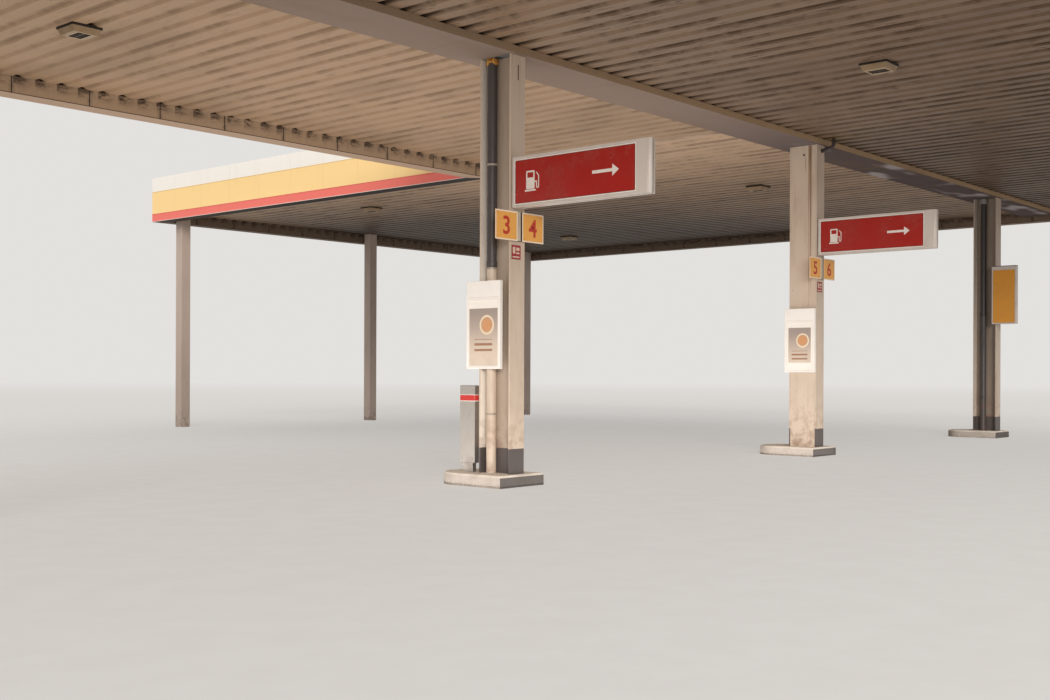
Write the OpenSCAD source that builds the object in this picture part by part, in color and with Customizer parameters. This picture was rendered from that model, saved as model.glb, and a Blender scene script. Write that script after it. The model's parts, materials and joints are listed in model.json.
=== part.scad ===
/* [Columns] */
// Spacing of the first three columns
bay = 6700; // [5600:100:8500]
// Spacing of the last two columns
far_bay = 7100; // [5600:100:9000]
// Depth of the column section, outside to outside of the flanges
column_depth = 440; // [380:10:500]
// Width of the column flanges
flange_w = 230; // [200:10:300]
// Thickness of the column flanges
flange_t = 20; // [14:1:28]
// Thickness of the column web
web_t = 12; // [8:1:18]
// Fillet between web and flanges
root_r = 18; // [10:1:24]
/* [Plinths] */
// Height of the concrete plinths above the ground
plinth_h = 130; // [80:10:250]
// Width of a plinth along the column row
plinth_w = 700; // [560:20:900]
// How far a plinth reaches past the column centre on its square side
plinth_front = 300; // [260:10:500]
// How far a plinth reaches past the column centre on its round side
plinth_back = 720; // [600:20:1000]
// Chamfer along the top edge of a plinth
plinth_chamfer = 20; // [5:5:30]
/* [Roof outline] */
// Roof length past the first and the last column
end_overhang = 3400; // [2400:100:4200]
// Roof reach to the right of the column row
right_overhang = 5700; // [4600:100:6600]
// Roof reach to the left of the column row
left_overhang = 5360; // [4400:20:6400]
// Distance of the wing's front edge before the third column
wing_setback = 1730; // [1200:10:2400]
// Length of the wing past the left edge of the roof
wing_length = 9440; // [6000:20:11000]
/* [Heights] */
// Underside of the ribbed ceiling above the ground
ceiling_z = 4640; // [4200:20:5400]
// Drop of the girder casing below the ceiling
casing_drop = 80; // [40:5:140]
// Drop of the fascia below the ceiling
skirt_h = 200; // [120:10:300]
// Height of the fascia above the roof sheets
parapet_h = 84; // [60:2:200]
/* [Fascia] */
// Depth of the boxed fascia from its outer face to its inner skirt
fascia_d = 285; // [220:5:360]
// Height of the lower band
red_h = 168; // [100:2:240]
// Height of the middle band
yellow_h = 475; // [300:5:520]
// Width of the coping on top
coping_w = 150; // [100:10:200]
// Down-turned edge of the coping
coping_drop = 40; // [20:5:60]
// Thickness of the folded sheets
sheet_t = 3; // [2:0.5:4]
// How far the cover strips between the bands stand out
strip_t = 6; // [3:1:10]
// Height of the cover strips
strip_h = 12; // [8:1:24]
/* [Ribbed sheets] */
// Pitch of the ceiling ribs
ceiling_pitch = 270; // [240:10:340]
// Flat width of a ceiling pan
ceiling_pan = 150; // [120:10:180]
// Width of the slanted side of a ceiling rib
ceiling_slope = 40; // [20:1:50]
// Depth of the ceiling ribs
ceiling_rib = 25; // [20:1:60]
// Pitch of the roof ribs
roof_pitch = 250; // [200:10:340]
// Flat width of a roof pan
roof_pan = 180; // [110:10:180]
// Width of the slanted side of a roof rib
roof_slope = 15; // [8:1:20]
// Depth of the roof ribs
roof_rib = 33; // [20:1:50]
// Thickness of the ribbed sheets
rib_sheet_t = 2; // [1:0.5:3]
// Bearing of the ribbed sheets on their ledges
ledge_w = 40; // [25:1:60]
/* [Steelwork] */
// Depth of the twin girder over the columns
girder_depth = 400; // [360:10:450]
// Flange width of each girder beam
girder_w = 180; // [140:10:190]
// Gap between the two girder beams
girder_gap = 50; // [30:5:60]
// Depth of the cross beams and edge beams
cross_depth = 200; // [160:10:240]
// Flange width of the cross beams
cross_w = 150; // [100:10:200]
// Flange width of the edge beams
edge_w = 75; // [60:5:100]
// Flange thickness of the beams
beam_flange_t = 13; // [10:1:18]
// Web thickness of the beams
beam_web_t = 8; // [6:1:12]
// Depth of the purlins
purlin_depth = 100; // [80:5:140]
// Flange width of the purlins
purlin_w = 50; // [40:5:70]
// Wall thickness of the purlins
purlin_t = 4; // [3:0.5:6]
// Largest distance between two purlins
purlin_span = 1800; // [1200:50:2400]
// Width of the rain gutter over the girder
gutter_w = 300; // [200:10:400]
// Reach of the girder casing on the right side of the column centre
casing_right = 275; // [260:5:340]
// Reach of the girder casing on the left side of the column centre
casing_left = 418; // [300:1:500]
/* [Wing supports] */
// Side of the square wing pillars
pillar_w = 220; // [180:10:400]
// Distance of the pillar centres from the roof's outer faces
pillar_setback = 470; // [460:5:700]
// Distance of the middle pillar from the wing's front edge
middle_pillar = 5870; // [3000:10:7000]
/* [Rain pipes] */
// Diameter of the downpipes
pipe_d = 104; // [80:1:104]
// Wall thickness of the pipes
pipe_t = 4; // [2:0.5:6]
// Height of the joint between downpipe and standpipe
pipe_joint_z = 2310; // [1800:10:3000]
// Distance of the rain pipes from the middle of the column
pipe_off = 92; // [60:1:105]
// Width of the plate that boxes in the third column's pipe
cover_w = 305; // [240:5:380]
/* [Fittings] */
// Side of a ceiling light
light_w = 320; // [290:10:420]
// Depth of a ceiling light
light_h = 80; // [40:5:110]
// Distance of the first ceiling light past the first column
light_first = 3280; // [2600:10:3800]
// Distance from one ceiling light to the next along the roof
light_pitch = 6735; // [5600:5:7400]
// Distance of the left lights from the column row
light_left = 2615; // [1500:5:3600]
// Distance of the right light from the column row
light_right = 2815; // [1500:5:4000]
// Distance of the first wing light from the wing's front edge
wing_light = 2480; // [1000:10:3600]
// Distance of the wing lights past the roof's left edge
wing_light_row = 5120; // [1500:10:5200]
// Size of the grille in a ceiling light along the roof
grille_w = 150; // [100:5:230]
// Size of the grille in a ceiling light across the roof
grille_l = 220; // [160:5:230]
// Length of a sign box
sign_l = 1770; // [1200:10:2200]
// Height of a sign box
sign_h = 530; // [400:10:640]
// Thickness of a sign box
sign_t = 110; // [80:2:140]
// Height of the sign boxes' lower edge above the ground
sign_z = 2932; // [2920:2:3600]
// Width of a number plate
plate_w = 346; // [240:2:400]
// Height of a number plate
plate_h = 310; // [220:5:330]
// Gap between two number plates
plate_gap = 74; // [20:2:120]
// Height of the number plates' lower edge above the ground
plate_z = 2590; // [2200:5:2590]
// Width of a poster case
case_w = 490; // [400:10:640]
// Height of a poster case
case_h = 940; // [700:10:1000]
// Thickness of a poster case
case_t = 42; // [30:1:60]
// Height of the poster cases' lower edge above the ground
case_z = 1242; // [1100:2:1500]
// Width of the upright sign on the last column
upright_w = 450; // [360:5:600]
// Height of the upright sign
upright_h = 1095; // [800:5:1400]
// Height of the upright sign's lower edge above the ground
upright_z = 2155; // [1800:5:2600]
// Height of the plain strip over the upright sign's panel
upright_header = 80; // [40:5:160]
// Height of the guard post
guard_h = 935; // [700:5:1200]
// Width of the guard post
guard_w = 220; // [140:5:240]
// Thickness of the guard post
guard_t = 70; // [50:5:90]
// Diameter of the drain bend over the third column
bend_d = 50; // [20:2:56]
/* [Hidden] */
$fn = 48;
column_x = [0, bay, 2 * bay, 2 * bay + far_bay];
near_x = -end_overhang;
far_x = column_x[3] + end_overhang;
right_y = -right_overhang;
left_y = left_overhang;
wing_x = column_x[2] - wing_setback;
wing_y = left_overhang + wing_length;

casing_z = ceiling_z - casing_drop;
girder_z = casing_z + sheet_t;
girder_top = girder_z + girder_depth;
cross_top = girder_top + cross_depth;
roof_z = cross_top + purlin_depth;
roof_top = roof_z + roof_rib + rib_sheet_t;
fascia_z = ceiling_z - skirt_h;
fascia_top = roof_top + parapet_h;
fascia_h = fascia_top - fascia_z;
column_h = girder_z - plinth_h;

// Ribbed sheets end over the middle of the ledges that carry them
sheet_edge = fascia_d - ledge_w / 2;
casing_bearing = ledge_w / 2;
roof_lap = 25;
beam_clearance = 6;
wing_beam_z = ceiling_z + ceiling_rib + rib_sheet_t + beam_clearance;
stiffener_t = 12;

pillar_y = wing_y - pillar_setback;
pillar_x = [wing_x + pillar_setback, wing_x + middle_pillar, far_x - pillar_setback];
pillar_gap = 5;

// Cuts run this far past the faces that they leave
past = 1;
recess_y = column_depth / 2 - flange_t;
// The third column's pipe is boxed in, so only these three show
piped = [0, 1, 3];
strap_thick = 2.5;
// How far the clamps stand out from the standpipes under them
strap_show = 0.5;
standpipe_d = pipe_d + 2 * (strap_thick - strap_show);
pipe_x = -web_t / 2 - pipe_d / 2 - strap_thick;
// The last column's pipe stands nearer to the middle
far_pipe_shift = 47;
pipe_y = [pipe_off, pipe_off, pipe_off, pipe_off - far_pipe_shift];
clamp_h = 22;
clamp_rise = 1110;
clamp_z = [pipe_joint_z + clamp_rise, pipe_joint_z];
recess_edge = -flange_w / 2;
cover_step = 8;
bend_t = 3;
bend_r = 60;
bend_turn = 75;
bend_x = 30;
bend_y = -column_depth / 2 - 197;
bend_z = casing_z + 15;

light_grid = [[light_first, light_left], [light_first + light_pitch, -light_right],
    [light_first + 2 * light_pitch, light_left], [wing_x + wing_light, left_y + wing_light_row],
    [wing_x + wing_light + light_pitch, left_y + wing_light_row]];
// The lights don't hang quite evenly
light_off = [[0, 0], [-215, 0], [0, 185], [0, 0], [115, 260]];
light_at = light_grid + light_off;
light_taper = 28;
grille_bars = 7;
grille_depth = 14;
bar_t = 6;

sign_round = 44;
sign_border = 30;
sign_end = 170;
sign_recess = 4;
sign_groove = 34;
sign_groove_depth = 20;
sign_groove_end = 40;
sign_x = -53;
sign_gap = 21;
arm_w = 60;
arm_h = 40;
arm_inset = 90;
plate_t = 4;
bracket_h = 40;
bracket_t = 6;
bracket_inset = 69;
plate_off = 30;
post_x = 12;
post_w = 18;
small_w = 141;
small_h = 150;
small_gap = 40;
small_x = -94;
case_y = [128, 128, 32];
case_lower = [0, 0, 20];
case_frame = 22;
case_recess = 8;
case_header = 215;
upright_t = 110;
upright_y = -174;
upright_edge = 22;
upright_recess = 3;
guard_foot_w = 150;
guard_foot_t = 60;
guard_foot_h = 100;
guard_gap = 37;
guard_y = column_depth / 2 + guard_gap + guard_w / 2;
guard_x = -110;

// Extrudes a section drawn in Y and Z along X, from x0 to x1
module along_x(x0, x1) {
    translate([x0, 0, 0]) rotate([90, 0, 90]) linear_extrude(x1 - x0) children();
}

// Extrudes a section drawn in X and Z along Y, from y0 to y1
module along_y(y0, y1) {
    translate([0, y1, 0]) rotate([90, 0, 0]) linear_extrude(y1 - y0) children();
}

// I section, width along the first axis and depth along the second, centred on its web
module i_section(w, depth, flange, web) {
    translate([-w / 2, 0]) square([w, flange]);
    translate([-w / 2, depth - flange]) square([w, flange]);
    translate([-web / 2, 0]) square([web, depth]);
}

// Channel section that opens towards the positive first axis, its back at zero
module channel_section(w, depth, flange, web) {
    square([web, depth]);
    square([w, flange]);
    translate([0, depth - flange]) square([w, flange]);
}

// Folded sheet with raised ribs along Y, from x0 to x1 and from y0 to y1, its pans at z
module ribbed_sheet(x0, x1, y0, y1, z, pitch, pan, slope, rib) {
    count = floor((x1 - x0 - pan) / pitch);
    first = x0 + (x1 - x0 - pan - count * pitch) / 2 + pan;
    under = concat([[x0, z]],
        [for (i = [0 : count - 1], p = [[0, 0], [slope, rib], [pitch - pan - slope, rib],
            [pitch - pan, 0]]) [first + i * pitch + p[0], z + p[1]]],
        [[x1, z]]);
    over = [for (i = [len(under) - 1 : -1 : 0]) under[i] + [0, rib_sheet_t]];
    along_y(y0, y1) polygon(concat(under, over));
}

module column(i) {
    color("antiquewhite")
    translate([column_x[i], 0, plinth_h]) linear_extrude(column_h) difference() {
        square([flange_w, column_depth], center = true);
        for (side = [-1, 1]) column_recess(side);
    }
}

// Space between web and flanges on one side, with round roots
module column_recess(side) {
    depth = (flange_w - web_t) / 2;
    translate([side * (web_t / 2 + root_r + depth / 2), 0])
        square([depth, 2 * recess_y], center = true);
    translate([side * (web_t / 2 + root_r / 2), 0])
        square([root_r, 2 * (recess_y - root_r)], center = true);
    for (end = [-1, 1])
        translate([side * (web_t / 2 + root_r), end * (recess_y - root_r)]) circle(root_r);
}

module plinth(i) {
    half = plinth_w / 2;
    c = plinth_chamfer;
    h = plinth_h;
    front = -plinth_front;
    round_y = plinth_back - half;
    color("darkgray")
    translate([column_x[i], 0, 0]) {
        intersection() {
            along_y(front, round_y)
                polygon([[-half, 0], [half, 0], [half, h - c], [half - c, h], [-half + c, h],
                    [-half, h - c]]);
            along_x(-half, half)
                polygon([[front, 0], [round_y, 0], [round_y, h], [front + c, h], [front, h - c]]);
        }
        translate([0, round_y, 0]) rotate_extrude($fn = 96)
            polygon([[0, 0], [half, 0], [half, h - c], [half - c, h], [0, h]]);
    }
}

module tube(d, z0, z1) {
    translate([0, 0, z0]) difference() {
        cylinder(d = d, h = z1 - z0);
        translate([0, 0, -past]) cylinder(d = d - 2 * pipe_t, h = z1 - z0 + 2 * past);
    }
}

module downpipes() {
    color("dimgray") {
        for (i = piped) translate([column_x[i] + pipe_x, pipe_y[i], 0]) {
            tube(pipe_d, pipe_joint_z, casing_z);
            for (z = clamp_z) translate([0, 0, z]) pipe_clamp();
        }
        drain_bend();
    }
}

// Thin pipe from the ceiling past the casing and down to the third column's flange
module drain_bend() {
    reach = -column_depth / 2 - bend_y;
    elbow_y = bend_r * (1 - cos(bend_turn));
    elbow_z = -bend_r * sin(bend_turn);
    translate([column_x[2] + bend_x, bend_y, bend_z]) {
        thin_pipe(ceiling_z - bend_z);
        translate([0, bend_r, 0]) rotate([-90, 0, -90]) pipe_elbow();
        difference() {
            translate([0, elbow_y, elbow_z]) rotate([180 + bend_turn, 0, 0]) thin_pipe(reach);
            translate([-bend_d, reach, -2 * reach]) cube([2 * bend_d, reach, 2 * reach]);
        }
    }
}

module thin_pipe(length) {
    difference() {
        cylinder(d = bend_d, h = length);
        translate([0, 0, -past]) cylinder(d = bend_d - 2 * bend_t, h = length + 2 * past);
    }
}

// Turn of the thin pipe from +X towards +Y about the origin
module pipe_elbow() {
    rotate_extrude(angle = bend_turn) translate([bend_r, 0]) difference() {
        circle(d = bend_d);
        circle(d = bend_d - 2 * bend_t);
    }
}

// Strap round the pipe that touches the web behind it
module pipe_clamp() {
    difference() {
        cylinder(d = pipe_d + 2 * strap_thick, h = clamp_h);
        translate([0, 0, -past]) cylinder(d = pipe_d - pipe_t, h = clamp_h + 2 * past);
    }
}

module standpipes() {
    color("antiquewhite")
    for (i = piped) translate([column_x[i] + pipe_x, pipe_y[i], 0])
        tube(standpipe_d, plinth_h, pipe_joint_z);
}

// Plate flush with the flange edges, a return back to the web and a narrow strip set back
module pipe_cover() {
    high = casing_z - plinth_h;
    wide = cover_w - flange_t;
    narrow = 2 * recess_y - wide;
    color("antiquewhite")
    translate([column_x[2] + recess_edge, recess_y - wide, plinth_h]) {
        cube([sheet_t, wide, high]);
        cube([(flange_w - web_t) / 2, sheet_t, high]);
        translate([cover_step, -narrow, 0]) cube([sheet_t, narrow + sheet_t, high]);
    }
}

module main_girder() {
    beam_y = (girder_w + girder_gap) / 2;
    color("slategray") {
        for (side = [-1, 1]) translate([0, side * beam_y, girder_z])
            along_x(near_x + sheet_t, far_x - sheet_t)
                i_section(girder_w, girder_depth, beam_flange_t, beam_web_t);
        for (x = column_x) translate([x - stiffener_t / 2, -beam_y, girder_z + beam_flange_t])
            cube([stiffener_t, 2 * beam_y, girder_depth - 2 * beam_flange_t]);
    }
}

module girder_casing() {
    width = casing_left + casing_right;
    fit = 2;
    color("linen")
    difference() {
        translate([0, -casing_right, casing_z]) along_x(near_x + fascia_d, far_x - fascia_d) {
            square([width, sheet_t]);
            for (y = [0, width - sheet_t]) translate([y, 0]) square([sheet_t, casing_drop]);
            for (y = [0, width - ledge_w])
                translate([y, casing_drop - sheet_t]) square([ledge_w, sheet_t]);
        }
        for (x = column_x)
            translate([x - flange_w / 2 - fit, -column_depth / 2 - fit, casing_z - past])
                cube([flange_w + 2 * fit, column_depth + 2 * fit, sheet_t + 2 * past]);
    }
}

// Cross beams lie on the girder over the columns; the last two carry the wing as well
module cross_beams() {
    start = right_y + sheet_t + edge_w;
    color("slategray")
    for (i = [0 : 3]) {
        stop = (i < 2 ? left_y : wing_y) - sheet_t - edge_w;
        translate([column_x[i], 0, girder_top]) along_y(start, stop)
            i_section(cross_w, cross_depth, beam_flange_t, beam_web_t);
    }
}

// One edge beam with its back towards the fascia, turned about the vertical
module edge_beam(from, turn, length) {
    translate([from[0], from[1], girder_top]) rotate([0, 0, turn]) along_x(0, length)
        channel_section(edge_w, cross_depth, beam_flange_t, beam_web_t);
}

module edge_beams() {
    t = sheet_t;
    color("slategray") {
        edge_beam([near_x + t, right_y + t], 0, far_x - near_x - 2 * t);
        edge_beam([far_x - t, right_y + t], 90, wing_y - right_y - 2 * t);
        edge_beam([far_x - t, wing_y - t], 180, far_x - wing_x - 2 * t);
        edge_beam([wing_x + t, wing_y - t], 270, wing_y + girder_w - t);
        edge_beam([wing_x + t, left_y - t], 180, wing_x - near_x);
        edge_beam([near_x + t, left_y - t], 270, left_y - right_y - 2 * t);
    }
}

module wing_beam() {
    color("slategray")
    translate([0, pillar_y, wing_beam_z]) along_x(wing_x + sheet_t, far_x - sheet_t)
        i_section(cross_w, girder_top - wing_beam_z, beam_flange_t, beam_web_t);
}

// Purlin lines between two edges, no further apart than the largest purlin distance
function purlin_rows(a, b) =
    let (n = ceil((b - a) / purlin_span))
    [for (i = [0 : n]) a + i * (b - a) / n];

module purlins() {
    inset = 220;
    main_rows = concat(purlin_rows(right_y + inset, -gutter_w),
        purlin_rows(gutter_w, left_y - inset));
    wing_rows = purlin_rows(left_y + purlin_span - inset, wing_y - inset);
    color("slategray") {
        for (y = main_rows) purlin(near_x + sheet_t, y);
        for (y = wing_rows) purlin(wing_x + sheet_t, y);
    }
}

module purlin(x0, y) {
    translate([0, y - purlin_w / 2, cross_top]) along_x(x0, far_x - sheet_t)
        channel_section(purlin_w, purlin_depth, purlin_t, purlin_t);
}

module wing_pillar(i) {
    color("gainsboro")
    translate([pillar_x[i] - pillar_w / 2, pillar_y - pillar_w / 2, 0])
        cube([pillar_w, pillar_w, wing_beam_z]);
}

module ceiling(x0, x1, y0, y1) {
    ribbed_sheet(x0, x1, y0, y1, ceiling_z, ceiling_pitch, ceiling_pan, ceiling_slope,
        ceiling_rib);
}

module ceiling_right() {
    color("tan")
    ceiling(near_x + sheet_edge, far_x - sheet_edge, right_y + sheet_edge,
        -casing_right + casing_bearing);
}

module ceiling_left() {
    color("tan")
    ceiling(near_x + sheet_edge, wing_x + sheet_edge, casing_left - casing_bearing,
        left_y - sheet_edge);
}

module ceiling_wing() {
    hole = pillar_w + 2 * pillar_gap;
    color("tan")
    difference() {
        ceiling(wing_x + sheet_edge, far_x - sheet_edge, casing_left - casing_bearing,
            wing_y - sheet_edge);
        for (x = pillar_x) translate([x - hole / 2, pillar_y - hole / 2, ceiling_z - past])
            cube([hole, hole, ceiling_rib + rib_sheet_t + 2 * past]);
    }
}

module roof(x0, x1, y0, y1) {
    ribbed_sheet(x0, x1, y0, y1, roof_z, roof_pitch, roof_pan, roof_slope, roof_rib);
}

module roof_right() {
    color("lightgray")
    roof(near_x + sheet_t, far_x - sheet_t, right_y + sheet_t, -gutter_w / 2 + roof_lap);
}

module roof_left() {
    color("lightgray")
    roof(near_x + sheet_t, wing_x + sheet_t, gutter_w / 2 - roof_lap, left_y - sheet_t);
}

module roof_wing() {
    color("lightgray")
    roof(wing_x + sheet_t, far_x - sheet_t, gutter_w / 2 - roof_lap, wing_y - sheet_t);
}

module roof_gutter() {
    lip = 40;
    color("silver")
    translate([0, -gutter_w / 2, cross_top]) along_x(near_x + sheet_t, far_x - sheet_t) {
        square([gutter_w, sheet_t]);
        for (y = [0, gutter_w - sheet_t]) translate([y, 0]) square([sheet_t, purlin_depth]);
        for (y = [-lip, gutter_w - sheet_t])
            translate([y, purlin_depth - sheet_t]) square([lip + sheet_t, sheet_t]);
    }
}

// Folded fascia section: depth from the outer face along the first axis, height along the second
module fascia_section() {
    t = sheet_t;
    d = fascia_d;
    translate([0, fascia_z]) square([t, fascia_h]);
    translate([0, fascia_top - t]) square([coping_w, t]);
    translate([coping_w - t, fascia_top - coping_drop]) square([t, coping_drop]);
    translate([0, fascia_z]) square([d, t]);
    translate([d - t, fascia_z]) square([t, skirt_h]);
    translate([d - ledge_w, ceiling_z - t]) square([ledge_w, t]);
    for (h = [0, red_h, red_h + yellow_h])
        translate([-strip_t, fascia_z + h - (h > 0 ? strip_h / 2 : 0)]) square([strip_t, strip_h]);
}

// One fascia run. Its ends are mitred: 1 for an outer corner, -1 for an inner one
module fascia_run(from, turn, length, start, end) {
    a = -strip_t;
    b = fascia_d;
    color("gold")
    translate([from[0], from[1], 0]) rotate([0, 0, turn]) intersection() {
        along_x(-b, length + b) fascia_section();
        translate([0, 0, fascia_z - past]) linear_extrude(fascia_h + 2 * past)
            polygon([[start * a, a], [length - end * a, a], [length - end * b, b],
                [start * b, b]]);
    }
}

module fascia_right() {
    fascia_run([near_x, right_y], 0, far_x - near_x, 1, 1);
}

module fascia_far() {
    fascia_run([far_x, right_y], 90, wing_y - right_y, 1, 1);
}

module fascia_wing_end() {
    fascia_run([far_x, wing_y], 180, far_x - wing_x, 1, 1);
}

module fascia_wing_front() {
    fascia_run([wing_x, wing_y], 270, wing_y - left_y, 1, -1);
}

module fascia_left() {
    fascia_run([wing_x, left_y], 180, wing_x - near_x, -1, 1);
}

module fascia_near() {
    fascia_run([near_x, left_y], 270, left_y - right_y, 1, 1);
}

// Opening in an end skirt through which the girder reaches the outer sheet
module girder_notch() {
    difference() {
        children();
        for (x = [near_x + sheet_t, far_x - fascia_d - past])
            translate([x, -casing_right, casing_z])
                cube([fascia_d - sheet_t + past, casing_right + casing_left, casing_drop + past]);
    }
}

// Light body with slanted sides, from two crossed trapezoids
module light_body() {
    outline = [[-light_w / 2 + light_taper, -light_h], [light_w / 2 - light_taper, -light_h],
        [light_w / 2, -light_taper / 2], [light_w / 2, 0], [-light_w / 2, 0],
        [-light_w / 2, -light_taper / 2]];
    intersection() {
        along_x(-light_w / 2, light_w / 2) polygon(outline);
        along_y(-light_w / 2, light_w / 2) polygon(outline);
    }
}

module ceiling_light() {
    gap = (grille_l - grille_bars * bar_t) / (grille_bars + 1);
    difference() {
        light_body();
        for (i = [0 : grille_bars])
            translate([-grille_w / 2, -grille_l / 2 + i * (gap + bar_t), -light_h - past])
                cube([grille_w, gap, grille_depth + past]);
    }
}

module ceiling_lights() {
    color("whitesmoke")
    for (p = light_at) translate([p[0], p[1], ceiling_z]) ceiling_light();
}

// Plan of a sign box: square at the column, round at its free end
module sign_outline() {
    r = sign_round;
    half = sign_t / 2;
    translate([-half, -sign_l + r]) square([sign_t, sign_l - r]);
    for (side = [-1, 1]) translate([side * (half - r), -sign_l + r]) circle(r);
    translate([-half + r, -sign_l]) square([2 * (half - r), r]);
}

// Sign box with two short arms back to the column
module sign_box(i) {
    color("firebrick")
    translate([column_x[i] + sign_x, -column_depth / 2 - sign_gap, sign_z]) {
        sign_shell();
        for (z = [arm_inset, sign_h - arm_inset])
            translate([-arm_w / 2, 0, z - arm_h / 2]) cube([arm_w, sign_gap, arm_h]);
    }
}

module sign_shell() {
    panel_l = sign_l - sign_end - sign_border;
    difference() {
        linear_extrude(sign_h) sign_outline();
        for (side = [-1, 1]) translate([side * sign_t / 2, -sign_border - panel_l / 2, sign_h / 2])
            cube([2 * sign_recess, panel_l, sign_h - 2 * sign_border], center = true);
        translate([-sign_groove / 2, -sign_l - past, -past])
            cube([sign_groove, sign_groove_depth + past, sign_h + 2 * past]);
        for (z = [-past, sign_h - sign_groove_depth])
            translate([-sign_groove / 2, -sign_l, z])
                cube([sign_groove, sign_l - sign_groove_end, sign_groove_depth + past]);
    }
}

// Two number plates on bars that stand off the column, and a small plate flat on its flange
module number_plates(i) {
    middles = plate_gap + plate_w;
    color("orange")
    translate([column_x[i], -column_depth / 2, plate_z]) {
        for (side = [-1, 1])
            translate([(side * middles - plate_w) / 2, -plate_off - plate_t, 0])
                cube([plate_w, plate_t, plate_h]);
        for (z = [bracket_inset, plate_h - bracket_inset])
            translate([-middles / 2, -plate_off, z - bracket_h / 2])
                cube([middles, bracket_t, bracket_h]);
        translate([post_x, -plate_off + bracket_t, 0])
            cube([post_w, plate_off - bracket_t, plate_h]);
        translate([small_x, -plate_t, -small_gap - small_h]) cube([small_w, plate_t, small_h]);
    }
}

module poster_case(i) {
    color("white")
    translate([column_x[i] + recess_edge - case_t, case_y[i] - case_w / 2, case_z - case_lower[i]])
    difference() {
        cube([case_t, case_w, case_h]);
        translate([-past, case_frame, case_frame])
            cube([case_recess + past, case_w - 2 * case_frame, case_h - case_header]);
    }
}

module upright_sign() {
    color("gold")
    translate([column_x[3] + recess_edge - upright_t, upright_y - upright_w, upright_z])
    difference() {
        cube([upright_t, upright_w, upright_h]);
        for (x = [-past, upright_t - upright_recess])
            translate([x, upright_edge, upright_edge])
                cube([upright_recess + past, upright_w - 2 * upright_edge,
                    upright_h - upright_header - upright_edge]);
    }
}

module guard_post() {
    color("silver")
    translate([column_x[1] + guard_x, guard_y, plinth_h]) {
        translate([-guard_foot_t / 2, -guard_foot_w / 2, 0])
            cube([guard_foot_t, guard_foot_w, guard_foot_h]);
        translate([-guard_t / 2, -guard_w / 2, guard_foot_h])
            cube([guard_t, guard_w, guard_h - guard_foot_h]);
    }
}

column(0);  // column_1
column(1);  // column_2
column(2);  // column_3
column(3);  // column_4
plinth(0);  // plinth_1
plinth(1);  // plinth_2
plinth(2);  // plinth_3
plinth(3);  // plinth_4
downpipes();
standpipes();
pipe_cover();
main_girder();
girder_casing();
cross_beams();
edge_beams();
wing_beam();
purlins();
wing_pillar(0);  // wing_pillar_1
wing_pillar(1);  // wing_pillar_2
wing_pillar(2);  // wing_pillar_3
ceiling_right();
ceiling_left();
ceiling_wing();
roof_right();
roof_left();
roof_wing();
roof_gutter();
girder_notch() fascia_near();
fascia_right();
girder_notch() fascia_far();
fascia_wing_end();
fascia_wing_front();
fascia_left();
ceiling_lights();
sign_box(0);  // sign_box_1
sign_box(1);  // sign_box_2
sign_box(2);  // sign_box_3
number_plates(0);  // number_plates_1
number_plates(1);  // number_plates_2
number_plates(2);  // number_plates_3
poster_case(0);  // poster_case_1
poster_case(1);  // poster_case_2
poster_case(2);  // poster_case_3
upright_sign();
guard_post();
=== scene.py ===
import functools
import json
import math

import bpy
from mathutils import Matrix, Vector


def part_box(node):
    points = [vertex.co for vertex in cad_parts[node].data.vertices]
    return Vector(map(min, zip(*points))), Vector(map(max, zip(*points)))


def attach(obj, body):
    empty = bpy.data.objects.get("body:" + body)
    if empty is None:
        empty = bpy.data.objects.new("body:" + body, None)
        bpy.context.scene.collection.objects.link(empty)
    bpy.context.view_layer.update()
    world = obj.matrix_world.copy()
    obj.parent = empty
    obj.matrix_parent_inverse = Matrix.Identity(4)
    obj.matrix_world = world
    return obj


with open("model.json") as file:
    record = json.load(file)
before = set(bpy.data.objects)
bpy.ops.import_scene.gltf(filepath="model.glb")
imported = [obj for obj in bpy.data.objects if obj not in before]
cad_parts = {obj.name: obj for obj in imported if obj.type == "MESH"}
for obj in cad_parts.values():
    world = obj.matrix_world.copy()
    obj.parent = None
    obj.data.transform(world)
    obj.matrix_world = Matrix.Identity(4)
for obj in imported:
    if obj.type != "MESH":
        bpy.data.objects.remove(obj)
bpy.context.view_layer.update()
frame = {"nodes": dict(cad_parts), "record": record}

bl_info = {
    "name": "Filling Station Canopy",
    "version": (1, 0, 0),
    "blender": (4, 5, 0),
    "location": "3D View > Sidebar > Canopy",
    "description": "Finishes a filling station canopy and adds its panels, joints and small fittings",
    "category": "Object",
}

COLUMNS = [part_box(f"column_{number}") for number in range(1, 5)]
COLUMN_X = [(low.x + high.x) / 2 for low, high in COLUMNS]
FLANGE_X, FLANGE_Y = COLUMNS[0][1].x, COLUMNS[0][1].y
PLINTH_TOP = COLUMNS[0][0].z
CASING_LOW, CASING_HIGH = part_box("girder_casing")
CEILING_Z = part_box("ceiling_left")[0].z
ROOF_Z, ROOF_TOP = (corner.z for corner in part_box("roof_left"))
FASCIA_Z, FASCIA_TOP = (corner.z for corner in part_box("fascia_left"))
WING_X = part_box("fascia_wing_front")[0].x

# Heights of the fascia's bands over its underside, its depth, and how far its cover strips stand out
PALE_EDGE, RED_TOP, YELLOW_TOP = 0.006, 0.168, 0.643
FASCIA_DEPTH, STRIP_PROUD = 0.285, 0.006
# How deep a flat trim sinks into the sheet that carries it
SUNK = 0.001

# Each fascia run with the way that its outer face looks
RUNS = {"fascia_right": "-Y", "fascia_far": "+X", "fascia_wing_end": "+Y", "fascia_wing_front": "-X",
        "fascia_left": "+Y", "fascia_near": "-X"}
OPPOSITE = {"-X": "+X", "+X": "-X", "-Y": "+Y", "+Y": "-Y"}
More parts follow.
